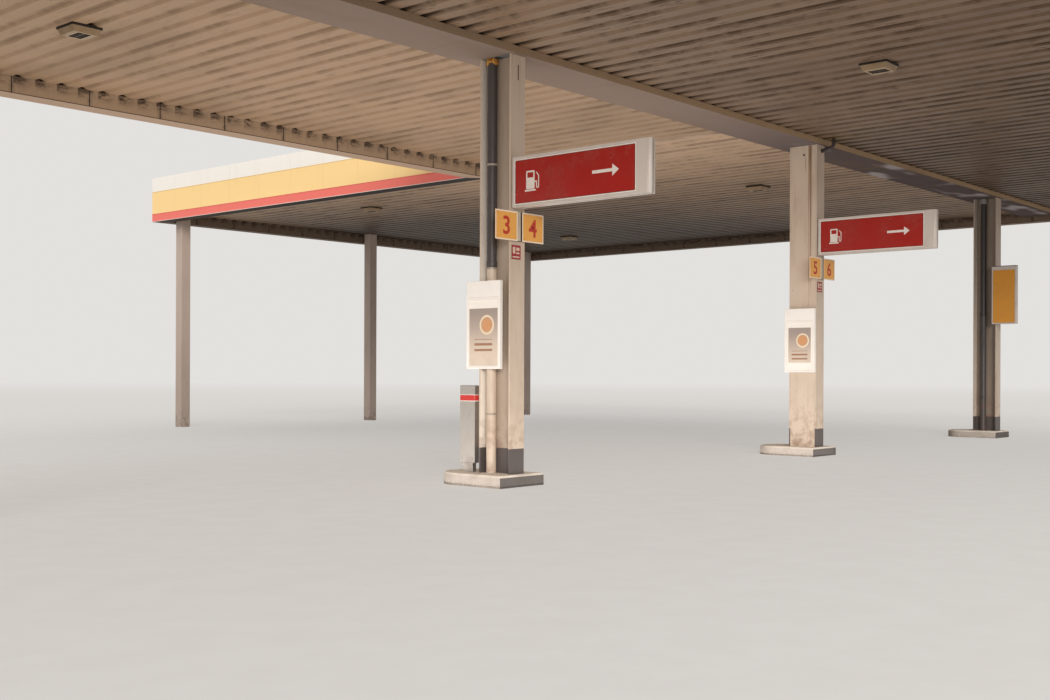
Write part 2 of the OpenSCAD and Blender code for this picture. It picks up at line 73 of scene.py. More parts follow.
# Right and outward directions of a flat part, by the way that it faces
FACINGS = {
    "-X": ((0, -1, 0), (-1, 0, 0)),
    "+X": ((0, 1, 0), (1, 0, 0)),
    "-Y": ((1, 0, 0), (0, -1, 0)),
    "+Y": ((-1, 0, 0), (0, 1, 0)),
    "-Z": ((1, 0, 0), (0, 0, -1)),
    "+Z": ((1, 0, 0), (0, 0, 1)),
}
# How dirty each ceiling sheet is, which also sets how dark its painted shade is along the grooves and towards
# the far end
CEILING_DIRT_AND_SHADE = {"ceiling_left": 0.35, "ceiling_right": 1.0, "ceiling_wing": 0.6}


def paint(red, green, blue):
    """Linear colour with full alpha from the three numbers of a paint chart, 0 to 255."""
    def linear(level):
        part = level / 255
        return part / 12.92 if part <= 0.04045 else ((part + 0.055) / 1.055) ** 2.4
    return (linear(red), linear(green), linear(blue), 1.0)


# Stains, painted light and shade, and the finishes of small parts
TONES = {name: paint(*levels) for name, levels in {
    "ceiling_sunlit": (210, 180, 152), "drain_stain": (104, 84, 42),
    "casing_shadow": (97, 89, 92), "casing_glare": (190, 184, 190), "casing_edge_far_lit": (178, 152, 124),
    "lip_shaded": (40, 33, 29), "skirt_sunlit": (222, 200, 176), "seam_shadow": (186, 166, 140),
    "roof_dirt": (84, 82, 74), "moss": (66, 70, 46),
    "column_stain": (150, 124, 98), "column_recess": (84, 68, 58), "column_far_shade": (120, 106, 96),
    "flange_sunlit": (254, 246, 236), "rust_run": (158, 120, 86),
    "pipe_scuff": (120, 112, 106), "pipe_far_shade": (38, 34, 33), "pipe_ring": (44, 38, 34),
    "bend_brown": (46, 34, 29), "clamp_cream": (168, 156, 144), "socket_grey": (150, 144, 140),
    "concrete_sunlit": (246, 236, 224), "concrete_stain": (146, 132, 122), "pore": (78, 70, 64),
    "damp": (92, 82, 76), "concrete_shade": (62, 57, 58), "concrete_worn": (214, 204, 194),
    "render_stain": (138, 122, 110), "render_foot": (110, 100, 92),
    "steel_dark": (178, 171, 164), "steel_light": (206, 199, 192), "steel_shade": (96, 90, 88),
    "finger_marks": (120, 112, 104), "zinc": (150, 150, 148), "zinc_stain": (92, 86, 78),
    "housing": (154, 130, 100), "housing_dust": (126, 103, 72), "light_inside_shade": (58, 46, 38),
    "grille_frame": (206, 184, 150), "louvre_brown": (84, 68, 54),
    "panel_dust": (120, 96, 80), "film_faded": (170, 140, 110), "sign_film_white": (232, 226, 220),
    "sign_trim": (248, 244, 238), "sign_shade_red": (112, 22, 20), "upright_cap_grey": (84, 80, 78),
    "plate_faded": (206, 150, 84), "plate_bars_shade": (70, 58, 50), "plate_joiner": (206, 190, 172),
    "plate_border_pale": (252, 240, 222), "small_plate_red": (158, 32, 48),
    # The seal tones colour the dark joints, and also stand in as painted shade in gaps, a groove and a hole
    "small_plate_marks": (222, 196, 176), "seal": (24, 20, 18), "seal_dust": (70, 58, 48),
    "dark_rust": (52, 32, 24), "foam_browned": (150, 84, 30),
    "print_foot": (224, 208, 192), "print_head": (164, 150, 144), "print_disc": (214, 156, 108),
    "print_ring": (242, 220, 190), "print_bars": (164, 122, 96), "print_faded": (176, 158, 146),
    "poster_backing": (250, 246, 240), "poster_clip_frame": (246, 240, 234),
    "poster_joint": (196, 188, 180),
    "guard_band_red": (200, 46, 44), "guard_lines_white": (240, 236, 230),
    "floor_dark": (222, 218, 213), "floor_light": (228, 225, 221), "backdrop": (227, 225, 222),
}.items()}


def colour_property(name, description, *levels):
    return bpy.props.FloatVectorProperty(
        name=name, description=description, default=paint(*levels), subtype="COLOR", size=4, min=0, max=1)


def length_property(name, description, default):
    return bpy.props.FloatProperty(
        name=name, description=description, default=default, min=0, subtype="DISTANCE", unit="LENGTH",
        precision=4)


class CanopyColours(bpy.types.PropertyGroup):
    """Colours of the canopy's finishes"""
    ceiling: colour_property("Ceiling", "Clean ceiling sheet", 176, 148, 121)
    # The dirty and sooty ceiling tones are also painted shade, darkening the ceilings and skirts towards the
    # far ends; the grime tone is also painted shade along the grooves, at the rib ends and under the ceiling
    ceiling_dirty: colour_property("Dirty and shaded ceiling", "Ceiling sheet on the older right side", 134, 110, 89)
    ceiling_sooty: colour_property("Sooty and shaded ceiling", "Ceiling sheet at the far ends", 78, 64, 54)
    grime: colour_property("Grime and shade", "Dirt in grooves and at joints", 52, 38, 29)
    casing: colour_property("Casing", "Edge of the girder casing", 146, 126, 106)
    # Painted shade and sheen: the underside's greyer colour
    casing_under: colour_property("Casing underside", "Underside of the girder casing", 143, 128, 119)
    skirt: colour_property("Skirt", "Inner skirt of the fascia", 176, 152, 128)
    lip: colour_property("Fascia lip", "Closing strip under the fascia", 178, 154, 134)
    white: colour_property("White band", "Upper band of the fascia", 236, 233, 228)
    # The yellow and red bands are paler than their paint: painted sunlight washes them out
    yellow: colour_property("Yellow band", "Middle band of the fascia", 244, 211, 150)
    red: colour_property("Red band", "Lower band of the fascia", 232, 118, 108)
    column: colour_property("Column", "Cream column paint", 210, 193, 176)
    column_foot: colour_property("Column foot", "Dark paint at the foot of the columns", 88, 80, 78)
    pipe: colour_property("Downpipe", "Dark grey pipe", 70, 65, 65)
    concrete: colour_property("Concrete", "Plinths", 188, 179, 171)
    render: colour_property("Render", "Wing pillars", 186, 170, 160)
    roof: colour_property("Roof", "Weathered roof sheet", 150, 150, 146)
    steel: colour_property("Steelwork", "Grey primer", 112, 114, 116)
    shell: colour_property("Sign shell", "White sign boxes", 208, 199, 192)
    case: colour_property("Poster case", "White poster cases", 250, 247, 243)
    panel: colour_property("Sign panel", "Red sign panel", 166, 26, 20)
    plate: colour_property("Number plate", "Number plates", 242, 176, 84)
    digit: colour_property("Digit", "Red digits", 196, 48, 34)
    upright: colour_property("Upright sign", "Yellow panel of the upright sign", 224, 154, 47)
    rust: colour_property("Rust", "Rust stains", 118, 66, 34)
    foam: colour_property("Foam", "Foam seal over a downpipe", 206, 158, 76)


class CanopySizes(bpy.types.PropertyGroup):
    """Sizes of the canopy's patterns and small parts"""
    rib_pitch: length_property("Ceiling rib pitch", "Distance between two ceiling ribs", 0.27)
    rib_pan: length_property("Ceiling pan", "Flat width of a ceiling pan", 0.15)
    roof_pitch: length_property("Roof rib pitch", "Distance between two roof ribs", 0.25)
    roof_pan: length_property("Roof pan", "Flat width of a roof pan", 0.18)
    panel_pitch: length_property("Fascia panel", "Length of one fascia panel", 0.98)
    first_joint: length_property("First joint", "First panel joint from the wing's corner", 1.02)
    joint_width: length_property("Joint width", "Width of the skirt joints", 0.012)
    screw: length_property("Screw", "Width of a sheet screw's head", 0.012)
    screw_rows: length_property("Screw rows", "Distance between two rows of sheet screws", 1.8)
    casing_sheet: length_property("Casing sheet", "Length of one casing sheet", 2.45)
    light: length_property("Ceiling light", "Side of a ceiling light", 0.32)
    grille_x: length_property("Grille width", "Size of a light's grille along the roof", 0.15)
    grille_y: length_property("Grille length", "Size of a light's grille across the roof", 0.22)
    sign_gap: length_property("Sign gap", "Gap between a column and its sign box", 0.021)
    sign_border: length_property("Sign border", "White border of a sign panel", 0.030)
    sign_end: length_property("Sign end", "White rounded end of a sign box", 0.170)
    plate_w: length_property("Plate width", "Width of a number plate", 0.346)
    plate_h: length_property("Plate height", "Height of a number plate", 0.310)
    pipe_d: length_property("Standpipe", "Diameter of a standpipe", 0.108)
    case_frame: length_property("Case frame", "Frame of a poster case", 0.022)
    case_header: length_property("Case header", "Plain header of a poster case", 0.193)
    upright_frame: length_property("Upright frame", "Frame of the upright sign", 0.022)
    upright_header: length_property("Upright header", "Plain strip over the upright panel", 0.080)
    foot_band: length_property("Foot band", "Height of the dark paint on a column's foot", 0.27)


class CanopyStage(bpy.types.PropertyGroup):
    """Camera and light of the studio"""
    eye: bpy.props.FloatVectorProperty(
        name="Eye", description="Place of the camera", default=(-3.0, -8.837, 1.205), subtype="TRANSLATION",
        unit="LENGTH")
    heading: bpy.props.FloatProperty(
        name="Heading", description="Direction of the level view from the column row", default=0.7198,
        subtype="ANGLE")
    roll: bpy.props.FloatProperty(
        name="Roll", description="Roll of the camera", default=0.0037, subtype="ANGLE")
    lens: bpy.props.FloatProperty(
        name="Lens", description="Focal length in millimetres", default=42.04, min=10)
    shift: bpy.props.FloatProperty(
        name="Shift", description="Upward shift of the picture", default=0.0215)
    sky: bpy.props.FloatProperty(name="Sky light", description="Strength of the even light", default=0.58)
    sun: bpy.props.FloatProperty(name="Key light", description="Strength of the low key light", default=2.2)
    bounce: bpy.props.FloatProperty(
        name="Bounce light", description="Power of the light from below", default=275.0, subtype="POWER")
    front: bpy.props.FloatProperty(
        name="Front light", description="Power of the soft light behind the camera", default=360.0,
        subtype="POWER")


def colours():
    return bpy.context.scene.canopy_colours


def sizes():
    return bpy.context.scene.canopy_sizes


def emptied(owner):
    """Empty node tree of a material or world"""
    owner.use_nodes = True
    owner.node_tree.nodes.clear()
    return owner.node_tree


class Board:
    """Adds nodes to one tree, so that a finish reads as a recipe"""

    def __init__(self, tree):
        self.tree = tree

    def add(self, kind, inputs=None, **settings):
        node = self.tree.nodes.new(kind)
        for name, value in settings.items():
            setattr(node, name, value)
        for key, value in (inputs or {}).items():
            self.feed(node.inputs[key], value)
        return node

    def feed(self, socket, value):
        if isinstance(value, bpy.types.NodeSocket):
            self.tree.links.new(value, socket)
        else:
            socket.default_value = value

    def math(self, operation, *values):
        return self.add("ShaderNodeMath", dict(enumerate(values)), operation=operation).outputs[0]

    def plus(self, first, second):
        return self.math("ADD", first, second)

    def minus(self, first, second):
        return self.math("SUBTRACT", first, second)

    def gap(self, first, second):
        return self.math("ABSOLUTE", self.minus(first, second))

    def under(self, value, limit):
        return self.math("LESS_THAN", value, limit)

    def times(self, first, *others):
        for other in others:
            first = self.math("MULTIPLY", first, other)
        return first

    def most(self, first, *others):
        for other in others:
            first = self.math("MAXIMUM", first, other)
        return first

    def mix(self, mask, first, second, blend="MIX"):
        node = self.add("ShaderNodeMix", data_type="RGBA", blend_type=blend)
        for index, value in ((0, mask), (6, first), (7, second)):
            self.feed(node.inputs[index], value)
        return node.outputs[2]

    def fade(self, value, start, end, low=0.0, high=1.0):
        """Runs smoothly from low, where the value is start, to high, where it is end"""
        sockets = {0: value, 1: start, 2: end, 3: low, 4: high}
        return self.add("ShaderNodeMapRange", sockets, interpolation_type="SMOOTHSTEP").outputs[0]

    def level(self, mask, low, high):
        """Low where the mask is weak, high where it is strong"""
        return self.fade(mask, 0.0, 1.0, low, high)

    def noise(self, vector, scale, detail=3.0, rough=0.55):
        sockets = {"Vector": vector, "Scale": scale, "Detail": detail, "Roughness": rough}
        return self.add("ShaderNodeTexNoise", sockets).outputs["Fac"]

    def vector(self, operation, inputs, output="Vector"):
        return self.add("ShaderNodeVectorMath", inputs, operation=operation).outputs[output]

    def stretch(self, vector, factors):
        return self.vector("MULTIPLY", {0: vector, 1: factors})

    def join(self, x, y=0.0):
        return self.add("ShaderNodeCombineXYZ", {"X": x, "Y": y}).outputs[0]

    def reach(self, x, y):
        """Distance from zero in two directions"""
        return self.vector("LENGTH", {0: self.join(x, y)}, "Value")

    def split(self, vector):
        return self.add("ShaderNodeSeparateXYZ", {0: vector}).outputs

    def group(self, tree, inputs, output="Mask"):
        return self.add("ShaderNodeGroup", inputs, node_tree=tree).outputs[output]


def new_group(name, inputs, output="Mask"):
    """Empty shader node group with a vector and number inputs and one number output"""
    tree = bpy.data.node_groups.new(name, "ShaderNodeTree")
    tree.interface.new_socket("Vector", in_out="INPUT", socket_type="NodeSocketVector")
    for label, default in inputs.items():
        socket = tree.interface.new_socket(label, in_out="INPUT", socket_type="NodeSocketFloat")
        socket.default_value = default
    tree.interface.new_socket(output, in_out="OUTPUT", socket_type="NodeSocketFloat")
    board = Board(tree)
    return board, board.add("NodeGroupInput").outputs, board.add("NodeGroupOutput").inputs[0]


@functools.cache
def blotches():
    """Soft weather patches"""
    board, given, result = new_group("Weather Blotches", {"Scale": 1.0, "Start": 0.5, "End": 0.7})
    patches = board.noise(given["Vector"], given["Scale"], detail=5.0, rough=0.62)
    board.feed(result, board.fade(patches, given["Start"], given["End"]))
    return board.tree


@functools.cache
def run_marks():
    """Streaks that run down from a height and fade out over a length"""
    board, given, result = new_group(
        "Run Marks", {"Across": 20.0, "Top": 4.0, "Length": 1.0, "Start": 0.5, "End": 0.7})
    wide = board.vector("SCALE", {0: given["Vector"], "Scale": given["Across"]})
    lines = board.noise(board.stretch(wide, (1.0, 1.0, 0.03)), 1.0, detail=2.0)
    height = board.split(given["Vector"])["Z"]
    hang = board.fade(height, board.minus(given["Top"], given["Length"]), given["Top"])
    board.feed(result, board.times(board.fade(lines, given["Start"], given["End"]), hang))
    return board.tree


@functools.cache
def specks():
    """Small spots in loose swarms"""
    board, given, result = new_group("Dust Specks", {"Scale": 20.0, "Size": 0.15, "Cover": 0.55})
    spots = board.add("ShaderNodeTexVoronoi", {"Vector": given["Vector"], "Scale": given["Scale"]})
    near = board.fade(spots.outputs["Distance"], given["Size"], 0.0)
    swarm = board.noise(given["Vector"], 1.3, detail=4.0, rough=0.7)
    board.feed(result, board.times(near, board.fade(swarm, given["Cover"], 0.8)))
    return board.tree


@functools.cache
def fine_grain():
    """Fine relief of a painted or cast surface"""
    board, given, result = new_group("Fine Grain", {"Scale": 300.0}, "Height")
    fine = board.noise(given["Vector"], given["Scale"], detail=4.0, rough=0.6)
    slow = board.noise(given["Vector"], board.times(given["Scale"], 0.08), detail=2.0)
    board.feed(result, board.plus(fine, board.times(slow, 2.0)))
    return board.tree


@functools.cache
def edge_wear():
    """Ragged wear along outer edges"""
    board, given, result = new_group("Edge Wear", {"Radius": 0.006, "Ragged": 60.0})
    rounded_normal = board.add("ShaderNodeBevel", {"Radius": given["Radius"]}, samples=4).outputs[0]
    flat_normal = board.add("ShaderNodeNewGeometry").outputs["Normal"]
    turn = board.vector("DOT_PRODUCT", {0: rounded_normal, 1: flat_normal}, "Value")
    chips = board.fade(board.noise(given["Vector"], given["Ragged"], detail=4.0), 0.47, 0.58)
    board.feed(result, board.times(board.fade(turn, 0.985, 0.86), chips))
    return board.tree


class Finish(Board):
    """One material with a Principled shader. Its base colour builds up stain by stain"""

    def __init__(self, name, roughness, base=None, metallic=0.0, specular=0.5):
        self.material = bpy.data.materials.new(name)
        super().__init__(emptied(self.material))
        self.shader = self.add("ShaderNodeBsdfPrincipled", {
            "Roughness": roughness, "Metallic": metallic, "Specular IOR Level": specular})
        self.add("ShaderNodeOutputMaterial", {"Surface": self.shader.outputs[0]})
        self.place = self.add("ShaderNodeTexCoord").outputs["Object"]
        self.x, self.y, self.z = self.split(self.place)
        self.normal = self.add("ShaderNodeNewGeometry").outputs["Normal"]
        self.side_x, self.side_y, self.side_z = self.split(self.normal)
        self.base = base

    def stain(self, tone, *masks):
        """Lays a tone, by name or as a colour, over the base where every mask is strong"""
        tone = TONES[tone] if isinstance(tone, str) else tone
        self.base = self.mix(self.times(*masks), self.base, tone)

    def drawn(self, factors, detail=3.0, rough=0.55):
        """Noise drawn out along the axes"""
        return self.noise(self.stretch(self.place, factors), 1.0, detail, rough)

    def patches(self, scale, start, end, factors=(1.0, 1.0, 1.0)):
        place = self.stretch(self.place, factors)
        return self.group(blotches(), {"Vector": place, "Scale": scale, "Start": start, "End": end})

    def runs(self, across, top, length, start, end):
        return self.group(run_marks(), {"Vector": self.place, "Across": across, "Top": top,
                                        "Length": length, "Start": start, "End": end})

    def dots(self, scale, size, cover, factors=(1.0, 1.0, 1.0)):
        place = self.stretch(self.place, factors)
        return self.group(specks(), {"Vector": place, "Scale": scale, "Size": size, "Cover": cover})

    def grain(self, scale):
        return self.group(fine_grain(), {"Vector": self.place, "Scale": scale}, "Height")

    def wear(self, radius, ragged):
        return self.group(edge_wear(), {"Vector": self.place, "Radius": radius, "Ragged": ragged})

    def done(self, roughness=None, relief=None):
        """Feeds the shader. The relief is a height with its strength and its distance in metres"""
        self.feed(self.shader.inputs["Base Color"], self.base)
        if roughness is not None:
            self.feed(self.shader.inputs["Roughness"], roughness)
        if relief:
            sockets = dict(zip(("Height", "Strength", "Distance"), relief))
            self.feed(self.shader.inputs["Normal"], self.add("ShaderNodeBump", sockets).outputs[0])
        return self.material


def ribs_of(sheet, pitch, pan):
    """X of the first groove of a ribbed sheet, and its number of ribs"""
    low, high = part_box(sheet)
    count = math.floor((high.x - low.x - pan) / pitch + 1e-4)
    return low.x + (high.x - low.x - pan - count * pitch) / 2 + pan, count


def rib_scale(finish, sheet):
    """Place along X, counted in ribs from the ceiling sheet's first groove"""
    groove, _ = ribs_of(sheet, sizes().rib_pitch, sizes().rib_pan)
    return finish.math("DIVIDE", finish.minus(finish.x, groove), sizes().rib_pitch)


@functools.cache
def ceiling_sheet(node):
    """Beige coated sheet, dirty in its grooves, more so on the right side and in the wing. Painted shade
    darkens one side of each groove, the grooves by the casing, the left sheet's near end and every sheet
    towards its far end; painted sunlight lightens the wing near its open front
    """
    dirt = CEILING_DIRT_AND_SHADE[node]
    sheet = Finish(f"{node}_sheet", 0.55, colours().ceiling, specular=0.12)
    x, y, tones = sheet.x, sheet.y, colours()
    # Darker towards the far end: dirt, and painted shade
    sheet.stain(tones.ceiling_dirty, sheet.fade(x, 0.0, 16.0, dirt * 0.3, 0.1 + dirt * 0.75))
    # Painted shade towards the far ends and at the left sheet's near end; painted sunlight on the wing near
    # its open front
    if node == "ceiling_left":
        sheet.stain(tones.ceiling_sooty, sheet.fade(x, 8.0, 24.0, 0.0, 0.15))
        sheet.stain(tones.ceiling_dirty, sheet.fade(x, -2.0, 4.0, 0.3, 0.0))
    elif node == "ceiling_right":
        sheet.stain(tones.ceiling_sooty, sheet.fade(x, 0.0, 22.0, 0.15, 0.75))
    else:
        sheet.stain(tones.ceiling_sooty, sheet.fade(sheet.plus(x, y), 19.0, 31.0))
        sheet.stain("ceiling_sunlit", sheet.fade(x, 11.5, 17.0, 0.6, 0.0))
    sheet.stain(tones.ceiling_sooty, 0.2 + 0.25 * dirt, sheet.patches(0.9, 0.42, 0.75, (1.0, 0.45, 1.0)))

    ribs = rib_scale(sheet, node)
    cell = sheet.math("FRACT", ribs)
    groove_share = 1 - sizes().rib_pan / sizes().rib_pitch
    each_rib = sheet.join(sheet.times(sheet.math("FLOOR", ribs), 5.3), sheet.times(y, 0.6))
    worn = sheet.noise(each_rib, 1.0, detail=5.0, rough=0.72)
    fine = sheet.drawn((26.0, 3.0, 1.0), 5.0, 0.75)
    groove = sheet.fade(sheet.gap(cell, groove_share / 2), groove_share / 2 + 0.04, groove_share / 2 - 0.12)
    grooves = sheet.times(groove, sheet.fade(worn, 0.44, 0.6, 0.0, 0.15 + 0.6 * dirt))
    # Painted shade: a dark line along one side of each groove, stronger towards the far end
    lines = sheet.times(sheet.fade(sheet.gap(cell, groove_share), 0.05, 0.0),
                        sheet.fade(worn, 0.56 - 0.16 * dirt, 0.68),
                        sheet.fade(x, 2.0, 12.0, 0.1 + 0.6 * dirt, 0.8))
    streaks = sheet.times(0.75 * dirt, sheet.fade(fine, 0.54, 0.64), sheet.fade(worn, 0.42, 0.58))
    spots = sheet.times(0.3 + 0.6 * dirt, sheet.dots(14.0, 0.36, 0.62 - 0.16 * dirt, (1.0, 0.4, 1.0)))
    # The dirty mask holds dirt and painted shade together
    dirty = sheet.most(lines, grooves, streaks, spots)
    if node == "ceiling_right":
        # Painted shade of the open rib ends: grooves darker near the casing
        off_casing = sheet.plus(sheet.minus(CASING_LOW.y, y), sheet.times(fine, -0.6))
        dirty = sheet.most(dirty, sheet.times(0.95, groove, sheet.fade(off_casing, 0.2, -0.25)))
        off_bend = sheet.reach(sheet.minus(x, COLUMN_X[2] + 0.1),
                               sheet.times(sheet.minus(y, CASING_LOW.y), 0.6))
        off_bend = sheet.plus(off_bend, sheet.times(fine, 0.5))
        sheet.stain("drain_stain", sheet.fade(off_bend, 0.75, 0.3, 0.0, 0.6))
    sheet.stain(tones.grime, dirty)
    return sheet.done(sheet.level(dirty, 0.48, 0.85), (sheet.drawn((3.0, 0.8, 1.0), 1.0), 0.5, 0.012))


@functools.cache
def casing_sheet():
    """Light coated sheet with faint stains and specks along its edges; its underside is painted greyer as
    shade and sheen, with painted shadow and glare towards the far end, and its edge is painted lighter
    towards the far end
    """
    sheet = Finish("girder_casing_sheet", 0.3, colours().casing, specular=0.0)
    x = sheet.x
    under = sheet.fade(sheet.side_z, -0.4, -0.8)
    # Painted shade and sheen: the underside greyer, with painted shadow and glare on it towards the far end
    sheet.stain(colours().casing_under, under)
    sheet.stain("casing_shadow", under, sheet.fade(x, 9.0, 15.0, 0.0, 0.9))
    glare = sheet.fade(sheet.drawn((0.9, 2.2, 1.0), 1.0), 0.52, 0.68)
    sheet.stain("casing_glare", under, glare, sheet.fade(x, 12.5, 14.5, 0.0, 0.8))
    # Painted light: the edge lighter towards the far end
    sheet.stain("casing_edge_far_lit", sheet.minus(1.0, under), sheet.fade(x, 3.0, 12.0))
    patches = sheet.patches(1.4, 0.45, 0.8, (0.5, 2.0, 2.0))
    sheet.stain(colours().ceiling_dirty, 0.35, patches)
    sheet.stain(colours().grime, sheet.dots(26.0, 0.34, 0.44), sheet.level(under, 0.8, 0.0))
    roughness = sheet.plus(sheet.fade(x, 7.0, 15.0, 0.5, 0.3), sheet.times(patches, 0.12))
    return sheet.done(roughness, (sheet.drawn((1.0, 2.4, 2.4), 1.5), 0.4, 0.03))


def band_colours(board, height):
    """Red, yellow and white by height over a narrow pale edge"""
    total = FASCIA_TOP - FASCIA_Z
    share = board.math("DIVIDE", board.minus(height, FASCIA_Z), total)
    ramp = board.add("ShaderNodeValToRGB", {"Fac": share})
    stops = ramp.color_ramp.elements
    ramp.color_ramp.interpolation = "CONSTANT"
    stops[0].color = stops[-1].color = colours().white
    bands = ((PALE_EDGE, colours().red), (RED_TOP, colours().yellow), (YELLOW_TOP, colours().white))
    for start, tone in bands:
        stops.new(start / total).color = tone
    return ramp.outputs["Color"]


def run_axis(run):
    """Axis that a fascia run follows"""
    return "Y" if RUNS[run][1] == "X" else "X"


def skirt_dirt(sheet, run):
    """Smears and painted shade under the ceiling and at its rib ends, drips, dirt at the joints and a darker
    strip at the skirt's foot
    """
    axis = run_axis(run)
    along = sheet.x if axis == "X" else sheet.y
    panels = sheet.math("DIVIDE", sheet.minus(along, joint_start(axis)), sizes().panel_pitch)
    cell = sheet.math("FRACT", panels)
    ragged = sheet.drawn((9.0, 9.0, 26.0), 5.0, 0.75)
    # Dark band under the ceiling: dirt smears, and painted shade of the corner
    smear_and_shade = sheet.times(sheet.fade(sheet.z, CEILING_Z - 0.15, CEILING_Z - 0.03),
                        sheet.fade(ragged, 0.36, 0.58))
    if axis == "X":
        ribs = rib_scale(sheet, "ceiling_right" if run == "fascia_right" else "ceiling_left")
        rib = sheet.math("FRACT", ribs)
        own = sheet.noise(sheet.join(sheet.times(sheet.math("FLOOR", ribs), 3.7)), 1.0, detail=2.0)
        span = sheet.fade(own, 0.3, 0.7, -0.25, 0.5)
        edge = sheet.minus(sheet.plus(rib, sheet.times(ragged, 0.8)), span)
        # Marks at each rib end: dirt, and painted shade of the open rib ends
        head = sheet.times(sheet.fade(sheet.z, CEILING_Z - 0.08, CEILING_Z - 0.03),
                           sheet.fade(edge, 0.75, 0.4), sheet.fade(own, 0.35, 0.6, 0.4, 1.0))
        smear_and_shade = sheet.most(sheet.times(smear_and_shade, sheet.fade(rib, 0.2, 0.95, 1.0, 0.2)), sheet.times(head, 0.85))
    drips = sheet.times(0.45, sheet.runs(22.0, CEILING_Z, 0.24, 0.55, 0.72))
    joints = sheet.times(0.6, sheet.fade(sheet.gap(cell, 0.5), 0.44, 0.5), sheet.fade(ragged, 0.3, 0.6))
    crease = sheet.fade(sheet.z, FASCIA_Z + 0.016, FASCIA_Z + 0.006, 0.0, 0.9)
    return sheet.most(smear_and_shade, drips, joints, crease)


@functools.cache
def fascia_sheet(run):
    """Banded sheet outside and beige skirt inside, with dirt and painted shade under the ceiling, dirt at the
    joints, painted shade towards the far ends and on the wing front's lip, and painted sunlight at the near
    end
    """
    tones = colours()
    sheet = Finish(f"{run}_sheet", 0.42, tones.skirt, specular=0.3)
    x = sheet.x
    lip = sheet.fade(sheet.side_z, -0.4, -0.7)
    # Painted shade on the wing front's lip
    sheet.stain("lip_shaded" if run == "fascia_wing_front" else tones.lip, lip)
    # Painted shade: skirts darker towards the far ends
    far = sheet.most(sheet.fade(x, 12.0, 19.0, 0.0, 0.62),
                     sheet.fade(sheet.plus(x, sheet.y), 20.0, 27.0, 0.0, 0.75))
    sheet.stain(tones.ceiling_sooty, far)
    # Painted sunlight on the skirts at the near end
    sheet.stain("skirt_sunlit", sheet.fade(x, -2.0, 4.0, 0.7, 0.0))
    # The skirt's marks: dirt, and painted shade under the ceiling and at the rib ends
    dirt = sheet.times(0.9, skirt_dirt(sheet, run), sheet.minus(1.0, lip))
    sheet.stain(tones.grime, dirt)
    inside = sheet.base

    sheet.base = band_colours(sheet, sheet.z)
    sheet.stain(tones.skirt, 0.07, sheet.runs(9.0, FASCIA_TOP, 0.9, 0.5, 0.8))
    look = sheet.vector("DOT_PRODUCT", {0: sheet.normal, 1: FACINGS[RUNS[run]][1]}, "Value")
    sheet.base = sheet.mix(sheet.fade(look, 0.3, 0.6), inside, sheet.base)
    coping = sheet.mix(sheet.times(sheet.patches(2.0, 0.4, 0.75), 0.6), tones.white, tones.roof)
    sheet.stain(coping, sheet.fade(sheet.side_z, 0.4, 0.7))
    waves = sheet.noise(sheet.place, 1.4, detail=1.0)
    return sheet.done(sheet.level(sheet.most(dirt, lip), 0.38, 0.8), (waves, 0.35, 0.02))


@functools.cache
def roof_sheet():
    """Grey coated sheet with washed ribs and dirt in the pans"""
    sheet = Finish("roof_sheet_weathered", 0.5, colours().roof)
    pan = sheet.fade(sheet.z, ROOF_TOP - 0.004, ROOF_Z + 0.006)
    streak = sheet.drawn((14.0, 0.5, 1.0), 4.0)
    dirty = sheet.times(
        sheet.most(sheet.patches(1.1, 0.38, 0.72, (1.0, 0.3, 1.0)), sheet.fade(streak, 0.5, 0.75)),
        sheet.level(pan, 0.2, 0.75))
    sheet.stain("roof_dirt", dirty)
    sheet.stain("moss", sheet.dots(12.0, 0.3, 0.6), pan)
    return sheet.done(sheet.level(dirty, 0.4, 0.8), (streak, 0.2, 0.004))


@functools.cache
def coat(name, stain, tone=None, roughness=0.42):
    """Coated metal with fine grain and soft stains"""
    finish = Finish(name, roughness, TONES[name] if tone is None else tone)
    patches = finish.patches(3.0, 0.45, 0.78)
    finish.stain(colours().grime, stain, patches)
    return finish.done(finish.level(patches, roughness - 0.08, roughness + 0.15),
                       (finish.grain(240.0), 0.15, 0.0015))


